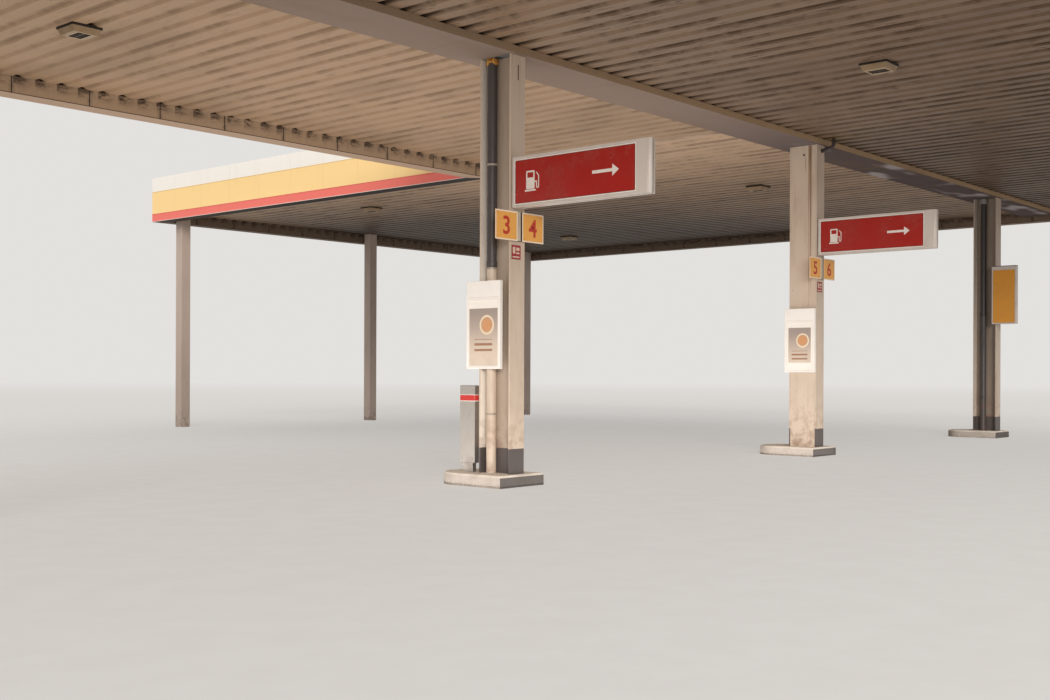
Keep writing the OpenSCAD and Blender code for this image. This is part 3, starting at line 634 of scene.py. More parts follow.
@functools.cache
def column_paint(foot_band):
    """Cream paint with dirt, rust runs, worn edges and, on the columns, a dark foot; painted shade darkens
    the web recesses and the parts at the far column, and painted sunlight lightens the back flange's inner
    face
    """
    tones = colours()
    finish = Finish(f"column_paint_{foot_band}", 0.5, tones.column)
    y, height = finish.y, finish.z
    patches = finish.patches(1.2, 0.4, 0.8, (3.0, 3.0, 0.8))
    finish.stain("column_stain", 0.35, patches)
    finish.stain(tones.rust, 0.5, finish.runs(30.0, CASING_LOW.z, 1.6, 0.6, 0.74))
    far = finish.fade(finish.x, COLUMN_X[2] + 1.0, COLUMN_X[3] - 1.0)
    if foot_band:
        # Painted shade in the web recesses and on the far column, and painted sunlight on the back flange's
        # inner face
        recess = finish.times(finish.fade(finish.math("ABSOLUTE", finish.side_x), 0.5, 0.8),
                              finish.fade(finish.math("ABSOLUTE", y), FLANGE_Y - 0.012, FLANGE_Y - 0.03))
        finish.stain("column_recess", recess, finish.level(far, 0.34, 0.6))
        finish.stain("column_far_shade", 0.2, far)
        back_flange = finish.times(finish.fade(finish.side_y, -0.5, -0.8), finish.fade(y, 0.1, 0.15))
        finish.stain("flange_sunlit", back_flange, finish.level(far, 0.85, 0.35))
    else:
        # Painted shade: the far standpipe and cover darker
        finish.stain(tones.pipe, far)
    splash = finish.fade(finish.noise(finish.place, 9.0, detail=5.0), 0.42, 0.66)
    finish.stain(tones.rust, 0.45, splash, finish.fade(height, 1.1, PLINTH_TOP))
    if foot_band:
        ragged = finish.plus(height, finish.times(finish.noise(finish.place, 60.0), 0.008))
        top = PLINTH_TOP + sizes().foot_band
        finish.stain(tones.column_foot, finish.fade(ragged, top + 0.006, top))
    finish.stain(tones.rust, 0.55, finish.wear(0.006, 45.0))
    return finish.done(finish.level(patches, 0.42, 0.62), (finish.grain(180.0), 0.25, 0.002))


@functools.cache
def dark_pipe():
    """Dark grey pipe with pale scuffs, painted shade at the far column and brown at the drain's bend"""
    finish = Finish("dark_pipe", 0.5, colours().pipe)
    scuffs = finish.runs(60.0, CEILING_Z + 2.0, 6.0, 0.5, 0.75)
    finish.stain("pipe_scuff", 0.35, scuffs)
    # Painted shade at the far column
    finish.stain("pipe_far_shade", finish.fade(finish.x, 15.0, 18.0, 0.0, 0.7))
    finish.stain("pipe_ring", 0.3, finish.patches(7.0, 0.5, 0.7))
    finish.stain("bend_brown", finish.fade(finish.y, -FLANGE_Y + 0.02, -FLANGE_Y - 0.02))
    return finish.done(finish.level(scuffs, 0.46, 0.65))


@functools.cache
def concrete():
    """Cast concrete with pores, stains and worn edges, painted sunlight on its tops and painted shade on its
    ends facing -Y
    """
    finish = Finish("cast_concrete", 0.85, colours().concrete)
    finish.stain("concrete_sunlit", finish.fade(finish.side_z, 0.4, 0.8))
    finish.stain("concrete_stain", 0.4, finish.patches(4.0, 0.38, 0.72))
    pores = finish.dots(55.0, 0.28, 0.45)
    finish.stain("pore", pores)
    damp = finish.fade(finish.noise(finish.place, 30.0, detail=5.0), 0.35, 0.65)
    finish.stain("damp", 0.4, damp, finish.fade(finish.z, 0.07, 0.0))
    finish.stain("concrete_shade", finish.fade(finish.side_y, -0.9, -0.98, 0.0, 0.85))
    finish.stain("concrete_worn", 0.6, finish.wear(0.014, 30.0))
    return finish.done(relief=(finish.minus(finish.grain(160.0), pores), 0.6, 0.004))


@functools.cache
def wall_render():
    """Painted render with fine grain and faint stains"""
    finish = Finish("pillar_render_paint", 0.9, colours().render)
    finish.stain("render_stain", 0.3, finish.patches(1.0, 0.4, 0.75, (2.0, 2.0, 0.6)))
    splash = finish.fade(finish.noise(finish.place, 12.0, detail=5.0), 0.4, 0.65)
    finish.stain("render_foot", 0.6, splash, finish.fade(finish.z, 0.5, 0.0))
    return finish.done(relief=(finish.grain(220.0), 0.5, 0.003))


@functools.cache
def brushed_steel():
    """Brushed steel with upright lines, finger marks and painted shade on its side facing -Y"""
    finish = Finish("brushed_steel_sheet", 0.36, TONES["steel_dark"], metallic=0.8)
    lines = finish.drawn((400.0, 400.0, 6.0), 2.0)
    patches = finish.patches(8.0, 0.45, 0.75)
    finish.stain("steel_light", lines)
    finish.stain("steel_shade", finish.fade(finish.side_y, -0.6, -0.9, 0.0, 0.45))
    finish.stain("finger_marks", 0.16, patches)
    return finish.done(finish.level(patches, 0.34, 0.55), (lines, 0.15, 0.0006))


@functools.cache
def bare_zinc():
    """Dull sheet metal for the gutter, rivets and screws"""
    finish = Finish("dull_zinc", 0.5, metallic=0.6)
    flakes = finish.add("ShaderNodeTexVoronoi", {"Vector": finish.place, "Scale": 60.0}).outputs["Color"]
    finish.base = finish.mix(0.12, TONES["zinc"], flakes, blend="OVERLAY")
    patches = finish.patches(3.0, 0.42, 0.72)
    finish.stain("zinc_stain", 0.5, patches)
    return finish.done(finish.level(patches, 0.45, 0.75))


@functools.cache
def light_housing():
    """Dusty off-white housing, painted dark behind its grille as the shade of its interior"""
    finish = Finish("light_housing_dusty", 0.5, TONES["housing"])
    patches = finish.patches(6.0, 0.4, 0.75)
    finish.stain("housing_dust", 0.5, patches)
    half_x, half_y = sizes().grille_x / 2 + 0.001, sizes().grille_y / 2 + 0.001
    grilles = [finish.times(finish.under(finish.gap(finish.x, x), half_x),
                            finish.under(finish.gap(finish.y, y), half_y)) for x, y in light_centres()]
    # Painted shade of the interior behind each grille
    finish.stain("light_inside_shade", finish.most(*grilles))
    return finish.done(finish.level(patches, 0.45, 0.7))


@functools.cache
def acrylic(name, tone):
    """Glossy sign panel, faintly uneven, with dust"""
    finish = Finish(name, 0.22, tone)
    patches = finish.patches(2.5, 0.4, 0.8)
    finish.stain("panel_dust", 0.2, patches)
    waves = finish.noise(finish.place, 5.0, detail=1.0)
    return finish.done(finish.level(patches, 0.2, 0.4), (waves, 0.1, 0.01))


@functools.cache
def film(name, tone=None):
    """Matt printed film for digits, borders and pictograms"""
    finish = Finish(name, 0.45, TONES[name] if tone is None else tone)
    finish.stain("film_faded", 0.18, finish.patches(18.0, 0.42, 0.8))
    return finish.done()


@functools.cache
def plate_coat():
    """Coated plates in front, with the bars behind them painted dark as shade"""
    finish = Finish("number_plate_coat", 0.4, colours().plate)
    patches = finish.patches(5.0, 0.42, 0.78)
    finish.stain("plate_faded", 0.2, patches)
    # Painted shade on the bars behind the plates
    finish.stain("plate_bars_shade", finish.fade(finish.y, -FLANGE_Y - 0.0302, -FLANGE_Y - 0.0292))
    return finish.done(finish.level(patches, 0.36, 0.55))


@functools.cache
def dark_rubber():
    """Near-black fill for the dark joints, and painted shade in gaps, a groove and a hole"""
    finish = Finish("dark_joint_and_painted_shade", 0.8, TONES["seal"])
    finish.stain("seal_dust", finish.fade(finish.noise(finish.place, 30.0), 0.4, 0.7, 0.0, 0.5))
    return finish.done()


@functools.cache
def rusty_steel():
    """Dark rust for slots and screws"""
    finish = Finish("rusty_steel", 0.85, TONES["dark_rust"], metallic=0.2)
    flakes = finish.noise(finish.place, 120.0, detail=5.0, rough=0.7)
    finish.stain(colours().rust, finish.fade(flakes, 0.4, 0.65))
    return finish.done(relief=(flakes, 0.7, 0.002))


@functools.cache
def old_foam():
    """Yellowed foam with a browned skin"""
    finish = Finish("old_foam", 0.95, colours().foam)
    skin = finish.noise(finish.place, 40.0, detail=4.0)
    finish.stain("foam_browned", finish.fade(skin, 0.4, 0.65))
    return finish.done(relief=(skin, 0.8, 0.006))


@functools.cache
def poster_print(number):
    """Generic print: grey-brown ground with a cream ring, a coffee-coloured disc and brown bars"""
    low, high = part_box(f"poster_case_{number}")
    finish = Finish(f"poster_print_{number}", 0.3, TONES["print_foot"])
    across = finish.minus(finish.y, (low.y + high.y) / 2)
    height = finish.minus(finish.z, low.z)
    disc, ring_inner, ring_outer = 0.074, 0.082, 0.105
    bars_low, bars_high, bars_half = 0.19, 0.32, 0.13
    bars_per_metre, bar_share = 16.0, 0.42
    finish.stain("print_head", finish.fade(height, 0.1, 0.66))
    radius = finish.reach(finish.plus(across, 0.05), finish.minus(height, 0.47))
    finish.stain("print_disc", finish.under(radius, disc))
    finish.stain("print_ring", finish.under(radius, ring_outer),
                 finish.math("GREATER_THAN", radius, ring_inner))
    row = finish.math("FRACT", finish.times(height, bars_per_metre))
    finish.stain("print_bars", finish.under(row, bar_share), finish.under(height, bars_high),
                 finish.math("GREATER_THAN", height, bars_low),
                 finish.under(finish.math("ABSOLUTE", across), bars_half))
    finish.stain("print_faded", 0.25, finish.patches(5.0, 0.4, 0.8))
    return finish.done()


def shift(x, y=0.0, z=0.0):
    return Matrix.Translation((x, y, z))


def corner_shifts(half_x, half_y, z=0.0):
    """Shifts to the four corners of a flat part"""
    return [shift(right * half_x, up * half_y, z) for right in (-1, 1) for up in (-1, 1)]


def rounded(width, height, radius, steps=4):
    """Outline of a rectangle with round corners, centred, turning left from its lower right corner"""
    outline = []
    for right, up, start in ((1, -1, -90), (1, 1, 0), (-1, 1, 90), (-1, -1, 180)):
        for step in range(steps + 1):
            turn = math.radians(start + 90 * step / steps)
            outline.append((right * (width / 2 - radius) + radius * math.cos(turn),
                            up * (height / 2 - radius) + radius * math.sin(turn)))
    return outline


def facing(name, centre):
    """Matrix of a flat part: its own X runs right, Y up and Z out of the face"""
    right, out = (Vector(way) for way in FACINGS[name])
    turn = Matrix((right, out.cross(right), out)).transposed().to_4x4()
    return Matrix.Translation(centre) @ turn


class Stock:
    """Points and faces of small parts that become one mesh"""

    def __init__(self):
        self.points = []
        self.faces = []

    def add(self, points, faces, place=Matrix()):
        start = len(self.points)
        self.points.extend(place @ Vector(point) for point in points)
        self.faces.extend(tuple(start + index for index in face) for face in faces)

    def slab(self, outline, low, high, place=Matrix()):
        """Outline in X and Y, closed from low to high"""
        count = len(outline)
        points = [(x, y, z) for z in (low, high) for x, y in outline]
        sides = [(i, (i + 1) % count, count + (i + 1) % count, count + i) for i in range(count)]
        ends = [tuple(range(count - 1, -1, -1)), tuple(range(count, 2 * count))]
        self.add(points, sides + ends, place)

    def block(self, low, high, place=Matrix()):
        outline = ((low[0], low[1]), (high[0], low[1]), (high[0], high[1]), (low[0], high[1]))
        self.slab(outline, low[2], high[2], place)

    def frame(self, outer, inner, low, high, place=Matrix(), steps=4):
        """Frame between two rounded rectangles, each given as width, height and radius"""
        outlines = rounded(*outer, steps), rounded(*inner, steps)
        count = len(outlines[0])
        points = [(x, y, z) for outline in outlines for z in (low, high) for x, y in outline]
        faces = []
        for i in range(count):
            j = (i + 1) % count
            faces.append((i, j, count + j, count + i))
            faces.append((2 * count + j, 2 * count + i, 3 * count + i, 3 * count + j))
            faces.append((count + i, count + j, 3 * count + j, 3 * count + i))
            faces.append((j, i, 2 * count + i, 2 * count + j))
        self.add(points, faces, place)

    def lathe(self, profile, sides, place=Matrix(), hoop=False):
        """Solid of revolution from radius and height pairs, closed at its ends or, as a hoop, in itself"""
        turns = [2 * math.pi * i / sides for i in range(sides)]
        points = [(radius * math.cos(turn), radius * math.sin(turn), z)
                  for radius, z in profile for turn in turns]
        rows = len(profile)
        faces = []
        for row in range(rows if hoop else rows - 1):
            here, above = row * sides, (row + 1) % rows * sides
            faces.extend((here + i, here + (i + 1) % sides, above + (i + 1) % sides, above + i)
                         for i in range(sides))
        if not hoop:
            last = (rows - 1) * sides
            faces.append(tuple(range(sides - 1, -1, -1)))
            faces.append(tuple(range(last, last + sides)))
        self.add(points, faces, place)

    def screw(self, width, place):
        """Sheet screw: washer and six-sided head"""
        radius = width / 2
        self.lathe(((radius, 0), (radius * 0.9, width * 0.12)), 10, place)
        self.lathe(((radius * 0.6, width * 0.12), (radius * 0.6, width * 0.42), (radius * 0.42, width * 0.5)),
                   6, place)


def stocks(count):
    return [Stock() for _ in range(count)]


def link(name, data):
    """New object in the scene"""
    item = bpy.data.objects.new(name, data)
    bpy.context.scene.collection.objects.link(item)
    return item


def round_edges(piece, width):
    modifier = piece.modifiers.new("Rounded edges", "BEVEL")
    modifier.width = width
    modifier.segments = 2
    modifier.limit_method = "ANGLE"
    modifier.angle_limit = math.radians(40)
    modifier.harden_normals = True


def add_piece(name, mesh, material, bevel=0.0):
    """Makes a mesh one piece that rides on the canopy"""
    mesh.materials.clear()
    mesh.materials.append(material)
    piece = link(name, mesh)
    if bevel:
        round_edges(piece, bevel)
    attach(piece, "root")


def show(name, stock, material, bevel=0.0, angle=35):
    """Makes the stock one piece, smooth up to an angle in degrees"""
    mesh = bpy.data.meshes.new(name)
    mesh.from_pydata(stock.points, [], stock.faces)
    mesh.validate()
    mesh.shade_smooth()
    mesh.set_sharp_from_angle(angle=math.radians(angle))
    add_piece(name, mesh, material, bevel)


def joint_start(axis):
    """Place of one panel joint on the runs along that axis"""
    return WING_X - sizes().first_joint if axis == "X" else FLANGE_Y


def joints_between(axis, low, high):
    """Places of the panel joints between two ends of a run"""
    pitch, start = sizes().panel_pitch, joint_start(axis)
    first = math.ceil((low - start) / pitch)
    last = math.floor((high - start) / pitch)
    return [start + pitch * step for step in range(first, last + 1)]


class CANOPY_OT_finish_frame(bpy.types.Operator):
    """Gives every carried-over part its finish, and the listed ones soft edges"""
    bl_idname = "canopy.finish_frame"
    bl_label = "Finish the Frame"

    BEVELS = {"column": 0.002, "plinth": 0.006, "wing_pillar": 0.006, "guard_post": 0.006, "sign_box": 0.003,
              "poster_case": 0.003, "upright_sign": 0.003, "ceiling_lights": 0.002, "number_plates": 0.0012}

    def execute(self, context):
        tones = colours()
        shared = {
            "column_paint": column_paint(True), "plinth_concrete": concrete(), "pipe_grey": dark_pipe(),
            "steel_primer": coat("steelwork_primer", 0.4, tones.steel, 0.6), "casing_sheet": casing_sheet(),
            "roof_sheet": roof_sheet(), "gutter_zinc": bare_zinc(), "light_housing": light_housing(),
            "sign_shell": coat("sign_shell_white", 0.12, tones.shell), "number_plate": plate_coat(),
            "case_frame": coat("case_frame_white", 0.08, tones.case),
            "upright_panel": coat("upright_sign_frame", 0.15, tones.shell),
            "guard_steel": brushed_steel(), "pillar_render": wall_render(),
        }
        by_sheet = {"ceiling_sheet": ceiling_sheet, "fascia_sheet": fascia_sheet}
        for part in frame["record"]["subparts"]:
            name, slot = part["node"], part["material_slot"]
            if slot in by_sheet:
                material = by_sheet[slot](name)
            elif name in ("standpipes", "pipe_cover"):
                material = column_paint(False)
            else:
                material = shared[slot]
            node = frame["nodes"][name]
            node.data.materials.clear()
            node.data.materials.append(material)
            for prefix, width in self.BEVELS.items():
                if name.startswith(prefix):
                    weld = node.modifiers.new("Joined faces", "WELD")
                    weld.merge_threshold = 0.0001
                    round_edges(node, width)
        return {"FINISHED"}


class CANOPY_OT_panel_joints(bpy.types.Operator):
    """Adds the joints between the fascia panels, outside and on the skirt"""
    bl_idname = "canopy.panel_joints"
    bl_label = "Fascia Panel Joints"

    def execute(self, context):
        half, proud = sizes().joint_width / 2, 0.0006
        corner, seam_half, clear = 0.32, 0.001, 0.007
        seam_spans = ((0.013, RED_TOP - clear), (RED_TOP + clear, YELLOW_TOP - clear),
                      (YELLOW_TOP + clear, FASCIA_TOP - FASCIA_Z - 0.002))
        for run, front in RUNS.items():
            low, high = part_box(run)
            axis = run_axis(run)
            start, end = (low.x, high.x) if axis == "X" else (low.y, high.y)
            outward = Vector(FACINGS[front][1])
            outer = outward.dot(high if sum(outward) > 0 else low) - STRIP_PROUD
            skirt, seams = stocks(2)
            for spot in joints_between(axis, start + corner, end - corner):
                along = Vector((spot, 0, 0)) if axis == "X" else Vector((0, spot, 0))
                skirt.block((-half, FASCIA_Z + 0.004, -SUNK), (half, CEILING_Z - 0.004, proud),
                            facing(OPPOSITE[front], along + outward * (outer - FASCIA_DEPTH)))
                for bottom, top in seam_spans:
                    seams.block((-seam_half, FASCIA_Z + bottom, -SUNK), (seam_half, FASCIA_Z + top, proud),
                                facing(front, along + outward * outer))
            side = run.removeprefix("fascia_")
            show(f"skirt_joints_{side}", skirt, dark_rubber())
            show(f"panel_seams_{side}", seams, film("seam_shadow"))
        return {"FINISHED"}


def show_screws(sheet, xs, facing_name, z, inset, width):
    """Screws of one sheet at the places along X, in rows across the roof that start an inset from its edge"""
    low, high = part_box(sheet)
    stock = Stock()
    rows = math.ceil((high.y - low.y) / sizes().screw_rows)
    for row in range(rows + 1):
        y = low.y + inset + (high.y - low.y - 2 * inset) * row / rows
        for x in xs:
            stock.screw(width, facing(facing_name, (x, y, z)))
    show(f"{sheet}_screws", stock, bare_zinc())


class CANOPY_OT_ceiling_screws(bpy.types.Operator):
    """Adds the rows of screws in the pans of the ceiling sheets"""
    bl_idname = "canopy.ceiling_screws"
    bl_label = "Ceiling Screws"

    def execute(self, context):
        pitch, pan = sizes().rib_pitch, sizes().rib_pan
        for sheet in ("ceiling_right", "ceiling_left", "ceiling_wing"):
            groove, count = ribs_of(sheet, pitch, pan)
            pans = [groove - pan / 2 + step * pitch for step in range(count + 1)]
            show_screws(sheet, pans, "-Z", CEILING_Z, 0.05, sizes().screw)
        return {"FINISHED"}


class CANOPY_OT_roof_screws(bpy.types.Operator):
    """Adds the rows of screws on the ribs of the roof sheets"""
    bl_idname = "canopy.roof_screws"
    bl_label = "Roof Screws"

    def execute(self, context):
        pitch, pan = sizes().roof_pitch, sizes().roof_pan
        for sheet in ("roof_right", "roof_left", "roof_wing"):
            groove, count = ribs_of(sheet, pitch, pan)
            ribs = [groove + (pitch - pan) / 2 + step * pitch for step in range(count)]
            show_screws(sheet, ribs, "+Z", ROOF_TOP, 0.25, sizes().screw * 1.5)
        return {"FINISHED"}


class CANOPY_OT_casing_seams(bpy.types.Operator):
    """Adds the overlaps of the girder casing's sheets, with their rivets"""
    bl_idname = "canopy.casing_seams"
    bl_label = "Casing Seams"

    def execute(self, context):
        overlaps, rivets = stocks(2)
        low, high = CASING_LOW, CASING_HIGH
        pitch = sizes().casing_sheet
        half, proud, rivet_count = 0.025, 0.0015, 5
        first_share, end_gap, column_gap = 0.7, 0.3, 0.1
        x = low.x + pitch * first_share
        while x < high.x - end_gap:
            if all(abs(x - column) > FLANGE_X + column_gap for column in COLUMN_X):
                overlaps.block((x - half, low.y - proud, low.z - proud),
                               (x + half, high.y + proud, low.z + SUNK))
                for y in (low.y, high.y):
                    overlaps.block((x - half, y - proud, low.z), (x + half, y + proud, high.z - 0.004))
                for step in range(rivet_count):
                    y = low.y + (high.y - low.y) * (step + 0.5) / rivet_count
                    rivets.lathe(((0.004, 0), (0.003, 0.0018)), 8, facing("-Z", (x, y, low.z - proud)))
            x += pitch
        show("casing_overlaps", overlaps, casing_sheet())
        show("casing_rivets", rivets, bare_zinc())
        return {"FINISHED"}


@functools.cache
def light_centres():
    """Centres of the ceiling lights, from the solids of their node"""
    apart = 0.6
    lights = []
    for vertex in frame["nodes"]["ceiling_lights"].data.vertices:
        spot = vertex.co.xy
        light = next((light for light in lights if (light[0] - spot).length < apart), None)
        if light is None:
            lights.append([spot])
        else:
            light.append(spot)
    return [tuple((min(values) + max(values)) / 2 for values in zip(*light)) for light in lights]


class CANOPY_OT_light_trims(bpy.types.Operator):
    """Adds the painted shadow gap, the grille frame, the louvre bar and the screws of the ceiling lights"""
    bl_idname = "canopy.light_trims"
    bl_label = "Ceiling Light Trims"

    def execute(self, context):
        side, wide, long = sizes().light, sizes().grille_x, sizes().grille_y
        drop = CEILING_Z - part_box("ceiling_lights")[0].z
        gap_height, frame_edge, screw_inset, bar_half = 0.024, 0.016, 0.045, 0.004
        gaps, frames, bars, screws = stocks(4)
        for x, y in light_centres():
            place = facing("-Z", (x, y, CEILING_Z))
            gaps.frame((side + 0.005, side + 0.005, 0.004), (side - 0.004, side - 0.004, 0.002),
                       0.0, gap_height, place)
            frames.frame((wide + frame_edge, long + frame_edge, 0.005), (wide, long, 0.003),
                         drop - 0.0005, drop + 0.0015, place)
            bars.block((-bar_half, -long / 2, drop - 0.006), (bar_half, long / 2, drop), place)
            for spot in corner_shifts(side / 2 - screw_inset, side / 2 - screw_inset, drop - SUNK):
                screws.lathe(((0.005, 0), (0.004, 0.0025)), 10, place @ spot)
        show("light_shadow_gaps", gaps, dark_rubber())
        show("light_grille_frames", frames, coat("grille_frame", 0.2), bevel=0.0006)
        show("light_louvre_bars", bars, coat("louvre_brown", 0.2))
        show("light_screws", screws, bare_zinc())
        return {"FINISHED"}


def pump_sign(stock, window, place):
    """Plain pictogram of a fuel pump, 0.22 m high, with its window apart"""
    thick = 0.001
    stock.slab(rounded(0.115, 0.19, 0.012), 0, thick, place @ shift(0, 0.008))
    stock.slab(rounded(0.15, 0.018, 0.004), 0, thick, place @ shift(0, -0.101))
    window.slab(rounded(0.08, 0.055, 0.006), 0.0006, 0.0015, place @ shift(0, 0.058))
    hose = [(0.057, -0.02), (0.078, -0.02), (0.078, -0.07), (0.09, -0.086), (0.106, -0.086),
            (0.118, -0.07), (0.118, 0.045), (0.085, 0.085), (0.077, 0.077), (0.106, 0.04),
            (0.106, -0.068), (0.101, -0.074), (0.095, -0.074), (0.09, -0.068), (0.09, -0.008),
            (0.057, -0.008)]
    stock.slab(hose, 0, thick, place)


class CANOPY_OT_sign_panels(bpy.types.Operator):
    """Adds the plain panels, edge trims, painted shade lines, pictograms and, in the groove of each rounded
    end, a dark strip of painted shade
    """
    bl_idname = "canopy.sign_panels"
    bl_label = "Sign Panels"

    def execute(self, context):
        border, end, gap = sizes().sign_border, sizes().sign_end, sizes().sign_gap
        red = acrylic("sign_panel_red", colours().panel)
        arrow = [(-0.16, -0.016), (0.09, -0.016), (0.09, -0.06), (0.17, 0), (0.09, 0.06), (0.09, 0.016),
                 (-0.16, 0.016)]
        recess, panel_top = 0.004, 0.0022
        groove_in, groove_shade_thick, groove_half = 0.019, 0.002, 0.0165
        for number in (1, 2, 3):
            low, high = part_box(f"sign_box_{number}")
            length = high.y - gap - low.y - end - border
            height = high.z - low.z - 2 * border
            middle = Vector(((low.x + high.x) / 2, low.y + end + length / 2, (low.z + high.z) / 2))
            half = (high.x - low.x) / 2
            panels, trims, shades, signs, windows, groove_shades = stocks(6)
            for name, side in (("-X", -1), ("+X", 1)):
                place = facing(name, middle + Vector((side * (half - recess), 0, 0)))
                panels.slab(rounded(length - 0.004, height - 0.004, 0.008), 0, panel_top, place)
                trims.frame((length - 0.001, height - 0.001, 0.004), (length - 0.018, height - 0.018, 0.008),
                            0.001, 0.0036, place)
                shades.frame((length - 0.018, height - 0.018, 0.008), (length - 0.036, height - 0.034, 0.008),
                             0.002, 0.0026, place)
                pump_sign(signs, windows, place @ shift(-length * 0.36, 0, panel_top))
                signs.slab(arrow, 0, 0.001, place @ shift(length * 0.26, 0, panel_top))
            # Painted shade: a dark strip in the groove at the box's rounded end
            groove_shades.block((middle.x - groove_half, low.y + groove_in, low.z + 0.001),
                          (middle.x + groove_half, low.y + groove_in + groove_shade_thick, high.z - 0.001))
            show(f"sign_panels_{number}", panels, red, bevel=0.0008)
            show(f"sign_trims_{number}", trims, coat("sign_trim", 0.1), bevel=0.0006)
            show(f"sign_shades_{number}", shades, film("sign_shade_red"))
            show(f"sign_pictograms_{number}", signs, film("sign_film_white"))
            show(f"sign_windows_{number}", windows, red)
            show(f"sign_groove_shades_{number}", groove_shades, dark_rubber())
        return {"FINISHED"}


def digit_piece(number, height, place):
    """One plain digit as a mesh, centred on its place"""
    name = f"digit_{number}"
    capital_share, weight, thick = 0.73, 0.028, 0.0004
    curve = bpy.data.curves.new(name, "FONT")
    curve.body = str(number)
    curve.align_x = "CENTER"
    curve.size = height / capital_share
    curve.offset = height * weight
    curve.extrude = thick
    letter = link(name, curve)
    mesh = bpy.data.meshes.new_from_object(letter.evaluated_get(bpy.context.evaluated_depsgraph_get()))
    bpy.data.objects.remove(letter)
    ys = [vertex.co.y for vertex in mesh.vertices]
    mesh.transform(place @ shift(0, -(min(ys) + max(ys)) / 2, thick))
    mesh.name = name
    add_piece(name, mesh, film("digit_film_red", colours().digit))


class CANOPY_OT_number_plates(bpy.types.Operator):
    """Adds the printed borders, digits, screws, small plates' faces, and in the gap between the plates a
    cream joiner and a dark strip of painted shadow
    """
    bl_idname = "canopy.number_plates"
    bl_label = "Number Plates"

    # Place and size of each block on a small plate, from its middle
    MARKS = ((-0.034, 0.02, 0.04, 0.07), (0.026, 0.034, 0.05, 0.034), (0.026, -0.008, 0.05, 0.018),
             (-0.004, -0.05, 0.11, 0.014))

    def execute(self, context):
        wide, tall = sizes().plate_w, sizes().plate_h
        edge, joiner_share, screw_inset, digit_share = 0.028, 0.68, 0.03, 0.62
        for group in (1, 2, 3):
            low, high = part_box(f"number_plates_{group}")
            borders, screws, small, marks, joiner, shadow = stocks(6)
            gap_low, gap_high = low.x + wide + 0.001, high.x - wide - 0.001
            split = gap_low + joiner_share * (gap_high - gap_low)
            # A cream joiner and a dark strip of painted shadow fill the gap between the plates
            for stock, start, end in ((joiner, gap_low, split), (shadow, split, gap_high)):
                stock.block((start, low.y + 0.0005, high.z - tall + 0.003),
                            (end, low.y + 0.002, high.z - 0.003))
            for index, x in enumerate((low.x + wide / 2, high.x - wide / 2)):
                place = facing("-Y", (x, low.y, high.z - tall / 2))
                borders.frame((wide - 0.002, tall - 0.002, 0.004), (wide - edge, tall - edge, 0.004),
                              -SUNK, 0.0002, place)
                for spot in corner_shifts(wide / 2 - screw_inset, tall / 2 - screw_inset):
                    screws.lathe(((0.006, -SUNK), (0.0045, 0.0004)), 10, place @ spot)
                digit_piece(group * 2 - 1 + index, tall * digit_share, place @ shift(0, 0, -0.0006))
            place = facing("-Y", ((low.x + high.x) / 2 - 0.0235, -FLANGE_Y - 0.004, low.z + 0.075))
            small.slab(rounded(0.139, 0.148, 0.004), -SUNK, 0.0003, place)
            for x, y, width, height in self.MARKS:
                marks.slab(rounded(width, height, 0.003), 0, 0.0006, place @ shift(x, y))
            for name, stock, material in (
                    ("plate_borders", borders, film("plate_border_pale")),
                    ("plate_joiner", joiner, coat("plate_joiner", 0.2)),
                    ("plate_gap", shadow, dark_rubber()),
                    ("plate_screws", screws, bare_zinc()),
                    ("small_plate_face", small, film("small_plate_red")),
                    ("small_plate_marks", marks, film("small_plate_marks"))):
                show(f"{name}_{group}", stock, material)
        return {"FINISHED"}


class CANOPY_OT_posters(bpy.types.Operator):
    """Adds a generic print, its backing, frame and header joint to each poster case"""
    bl_idname = "canopy.posters"
    bl_label = "Poster Cases"

    # Width of each case's print, and its lower and upper edge over the case's foot
    PRINTS = ((0.411, 0.028, 0.646), (0.411, 0.028, 0.646), (0.366, 0.143, 0.658))

    def execute(self, context):
        edge, header = sizes().case_frame, sizes().case_header
        recess = 0.008
        for number, (wide, foot, top) in enumerate(self.PRINTS, 1):
            low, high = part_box(f"poster_case_{number}")
            width = high.y - low.y - 2 * edge
            height = high.z - low.z - header - edge
            middle = (low.x + recess, (low.y + high.y) / 2, low.z + edge + height / 2)
            place = facing("-X", middle)
            backing, prints, frames, lines = stocks(4)
            backing.slab(rounded(width - 0.02, height - 0.02, 0.004), 0, 0.002, place)
            prints.slab(rounded(wide, top - foot, 0.003), 0.0015, 0.003,
                        place @ shift(0, low.z + (foot + top) / 2 - middle[2]))
            frames.frame((width - 0.002, height - 0.002, 0.004), (width - 0.028, height - 0.028, 0.004),
                         0, 0.006, place)
            lines.block((-width / 2, height / 2 + 0.016, 0.0072), (width / 2, height / 2 + 0.019, 0.0082),
                        place)
            show(f"poster_backing_{number}", backing, coat("poster_backing", 0.05))
            show(f"poster_print_{number}", prints, poster_print(number))
            show(f"poster_frame_{number}", frames, coat("poster_clip_frame", 0.1), bevel=0.0015)
            show(f"poster_joint_{number}", lines, coat("poster_joint", 0.2))
        return {"FINISHED"}


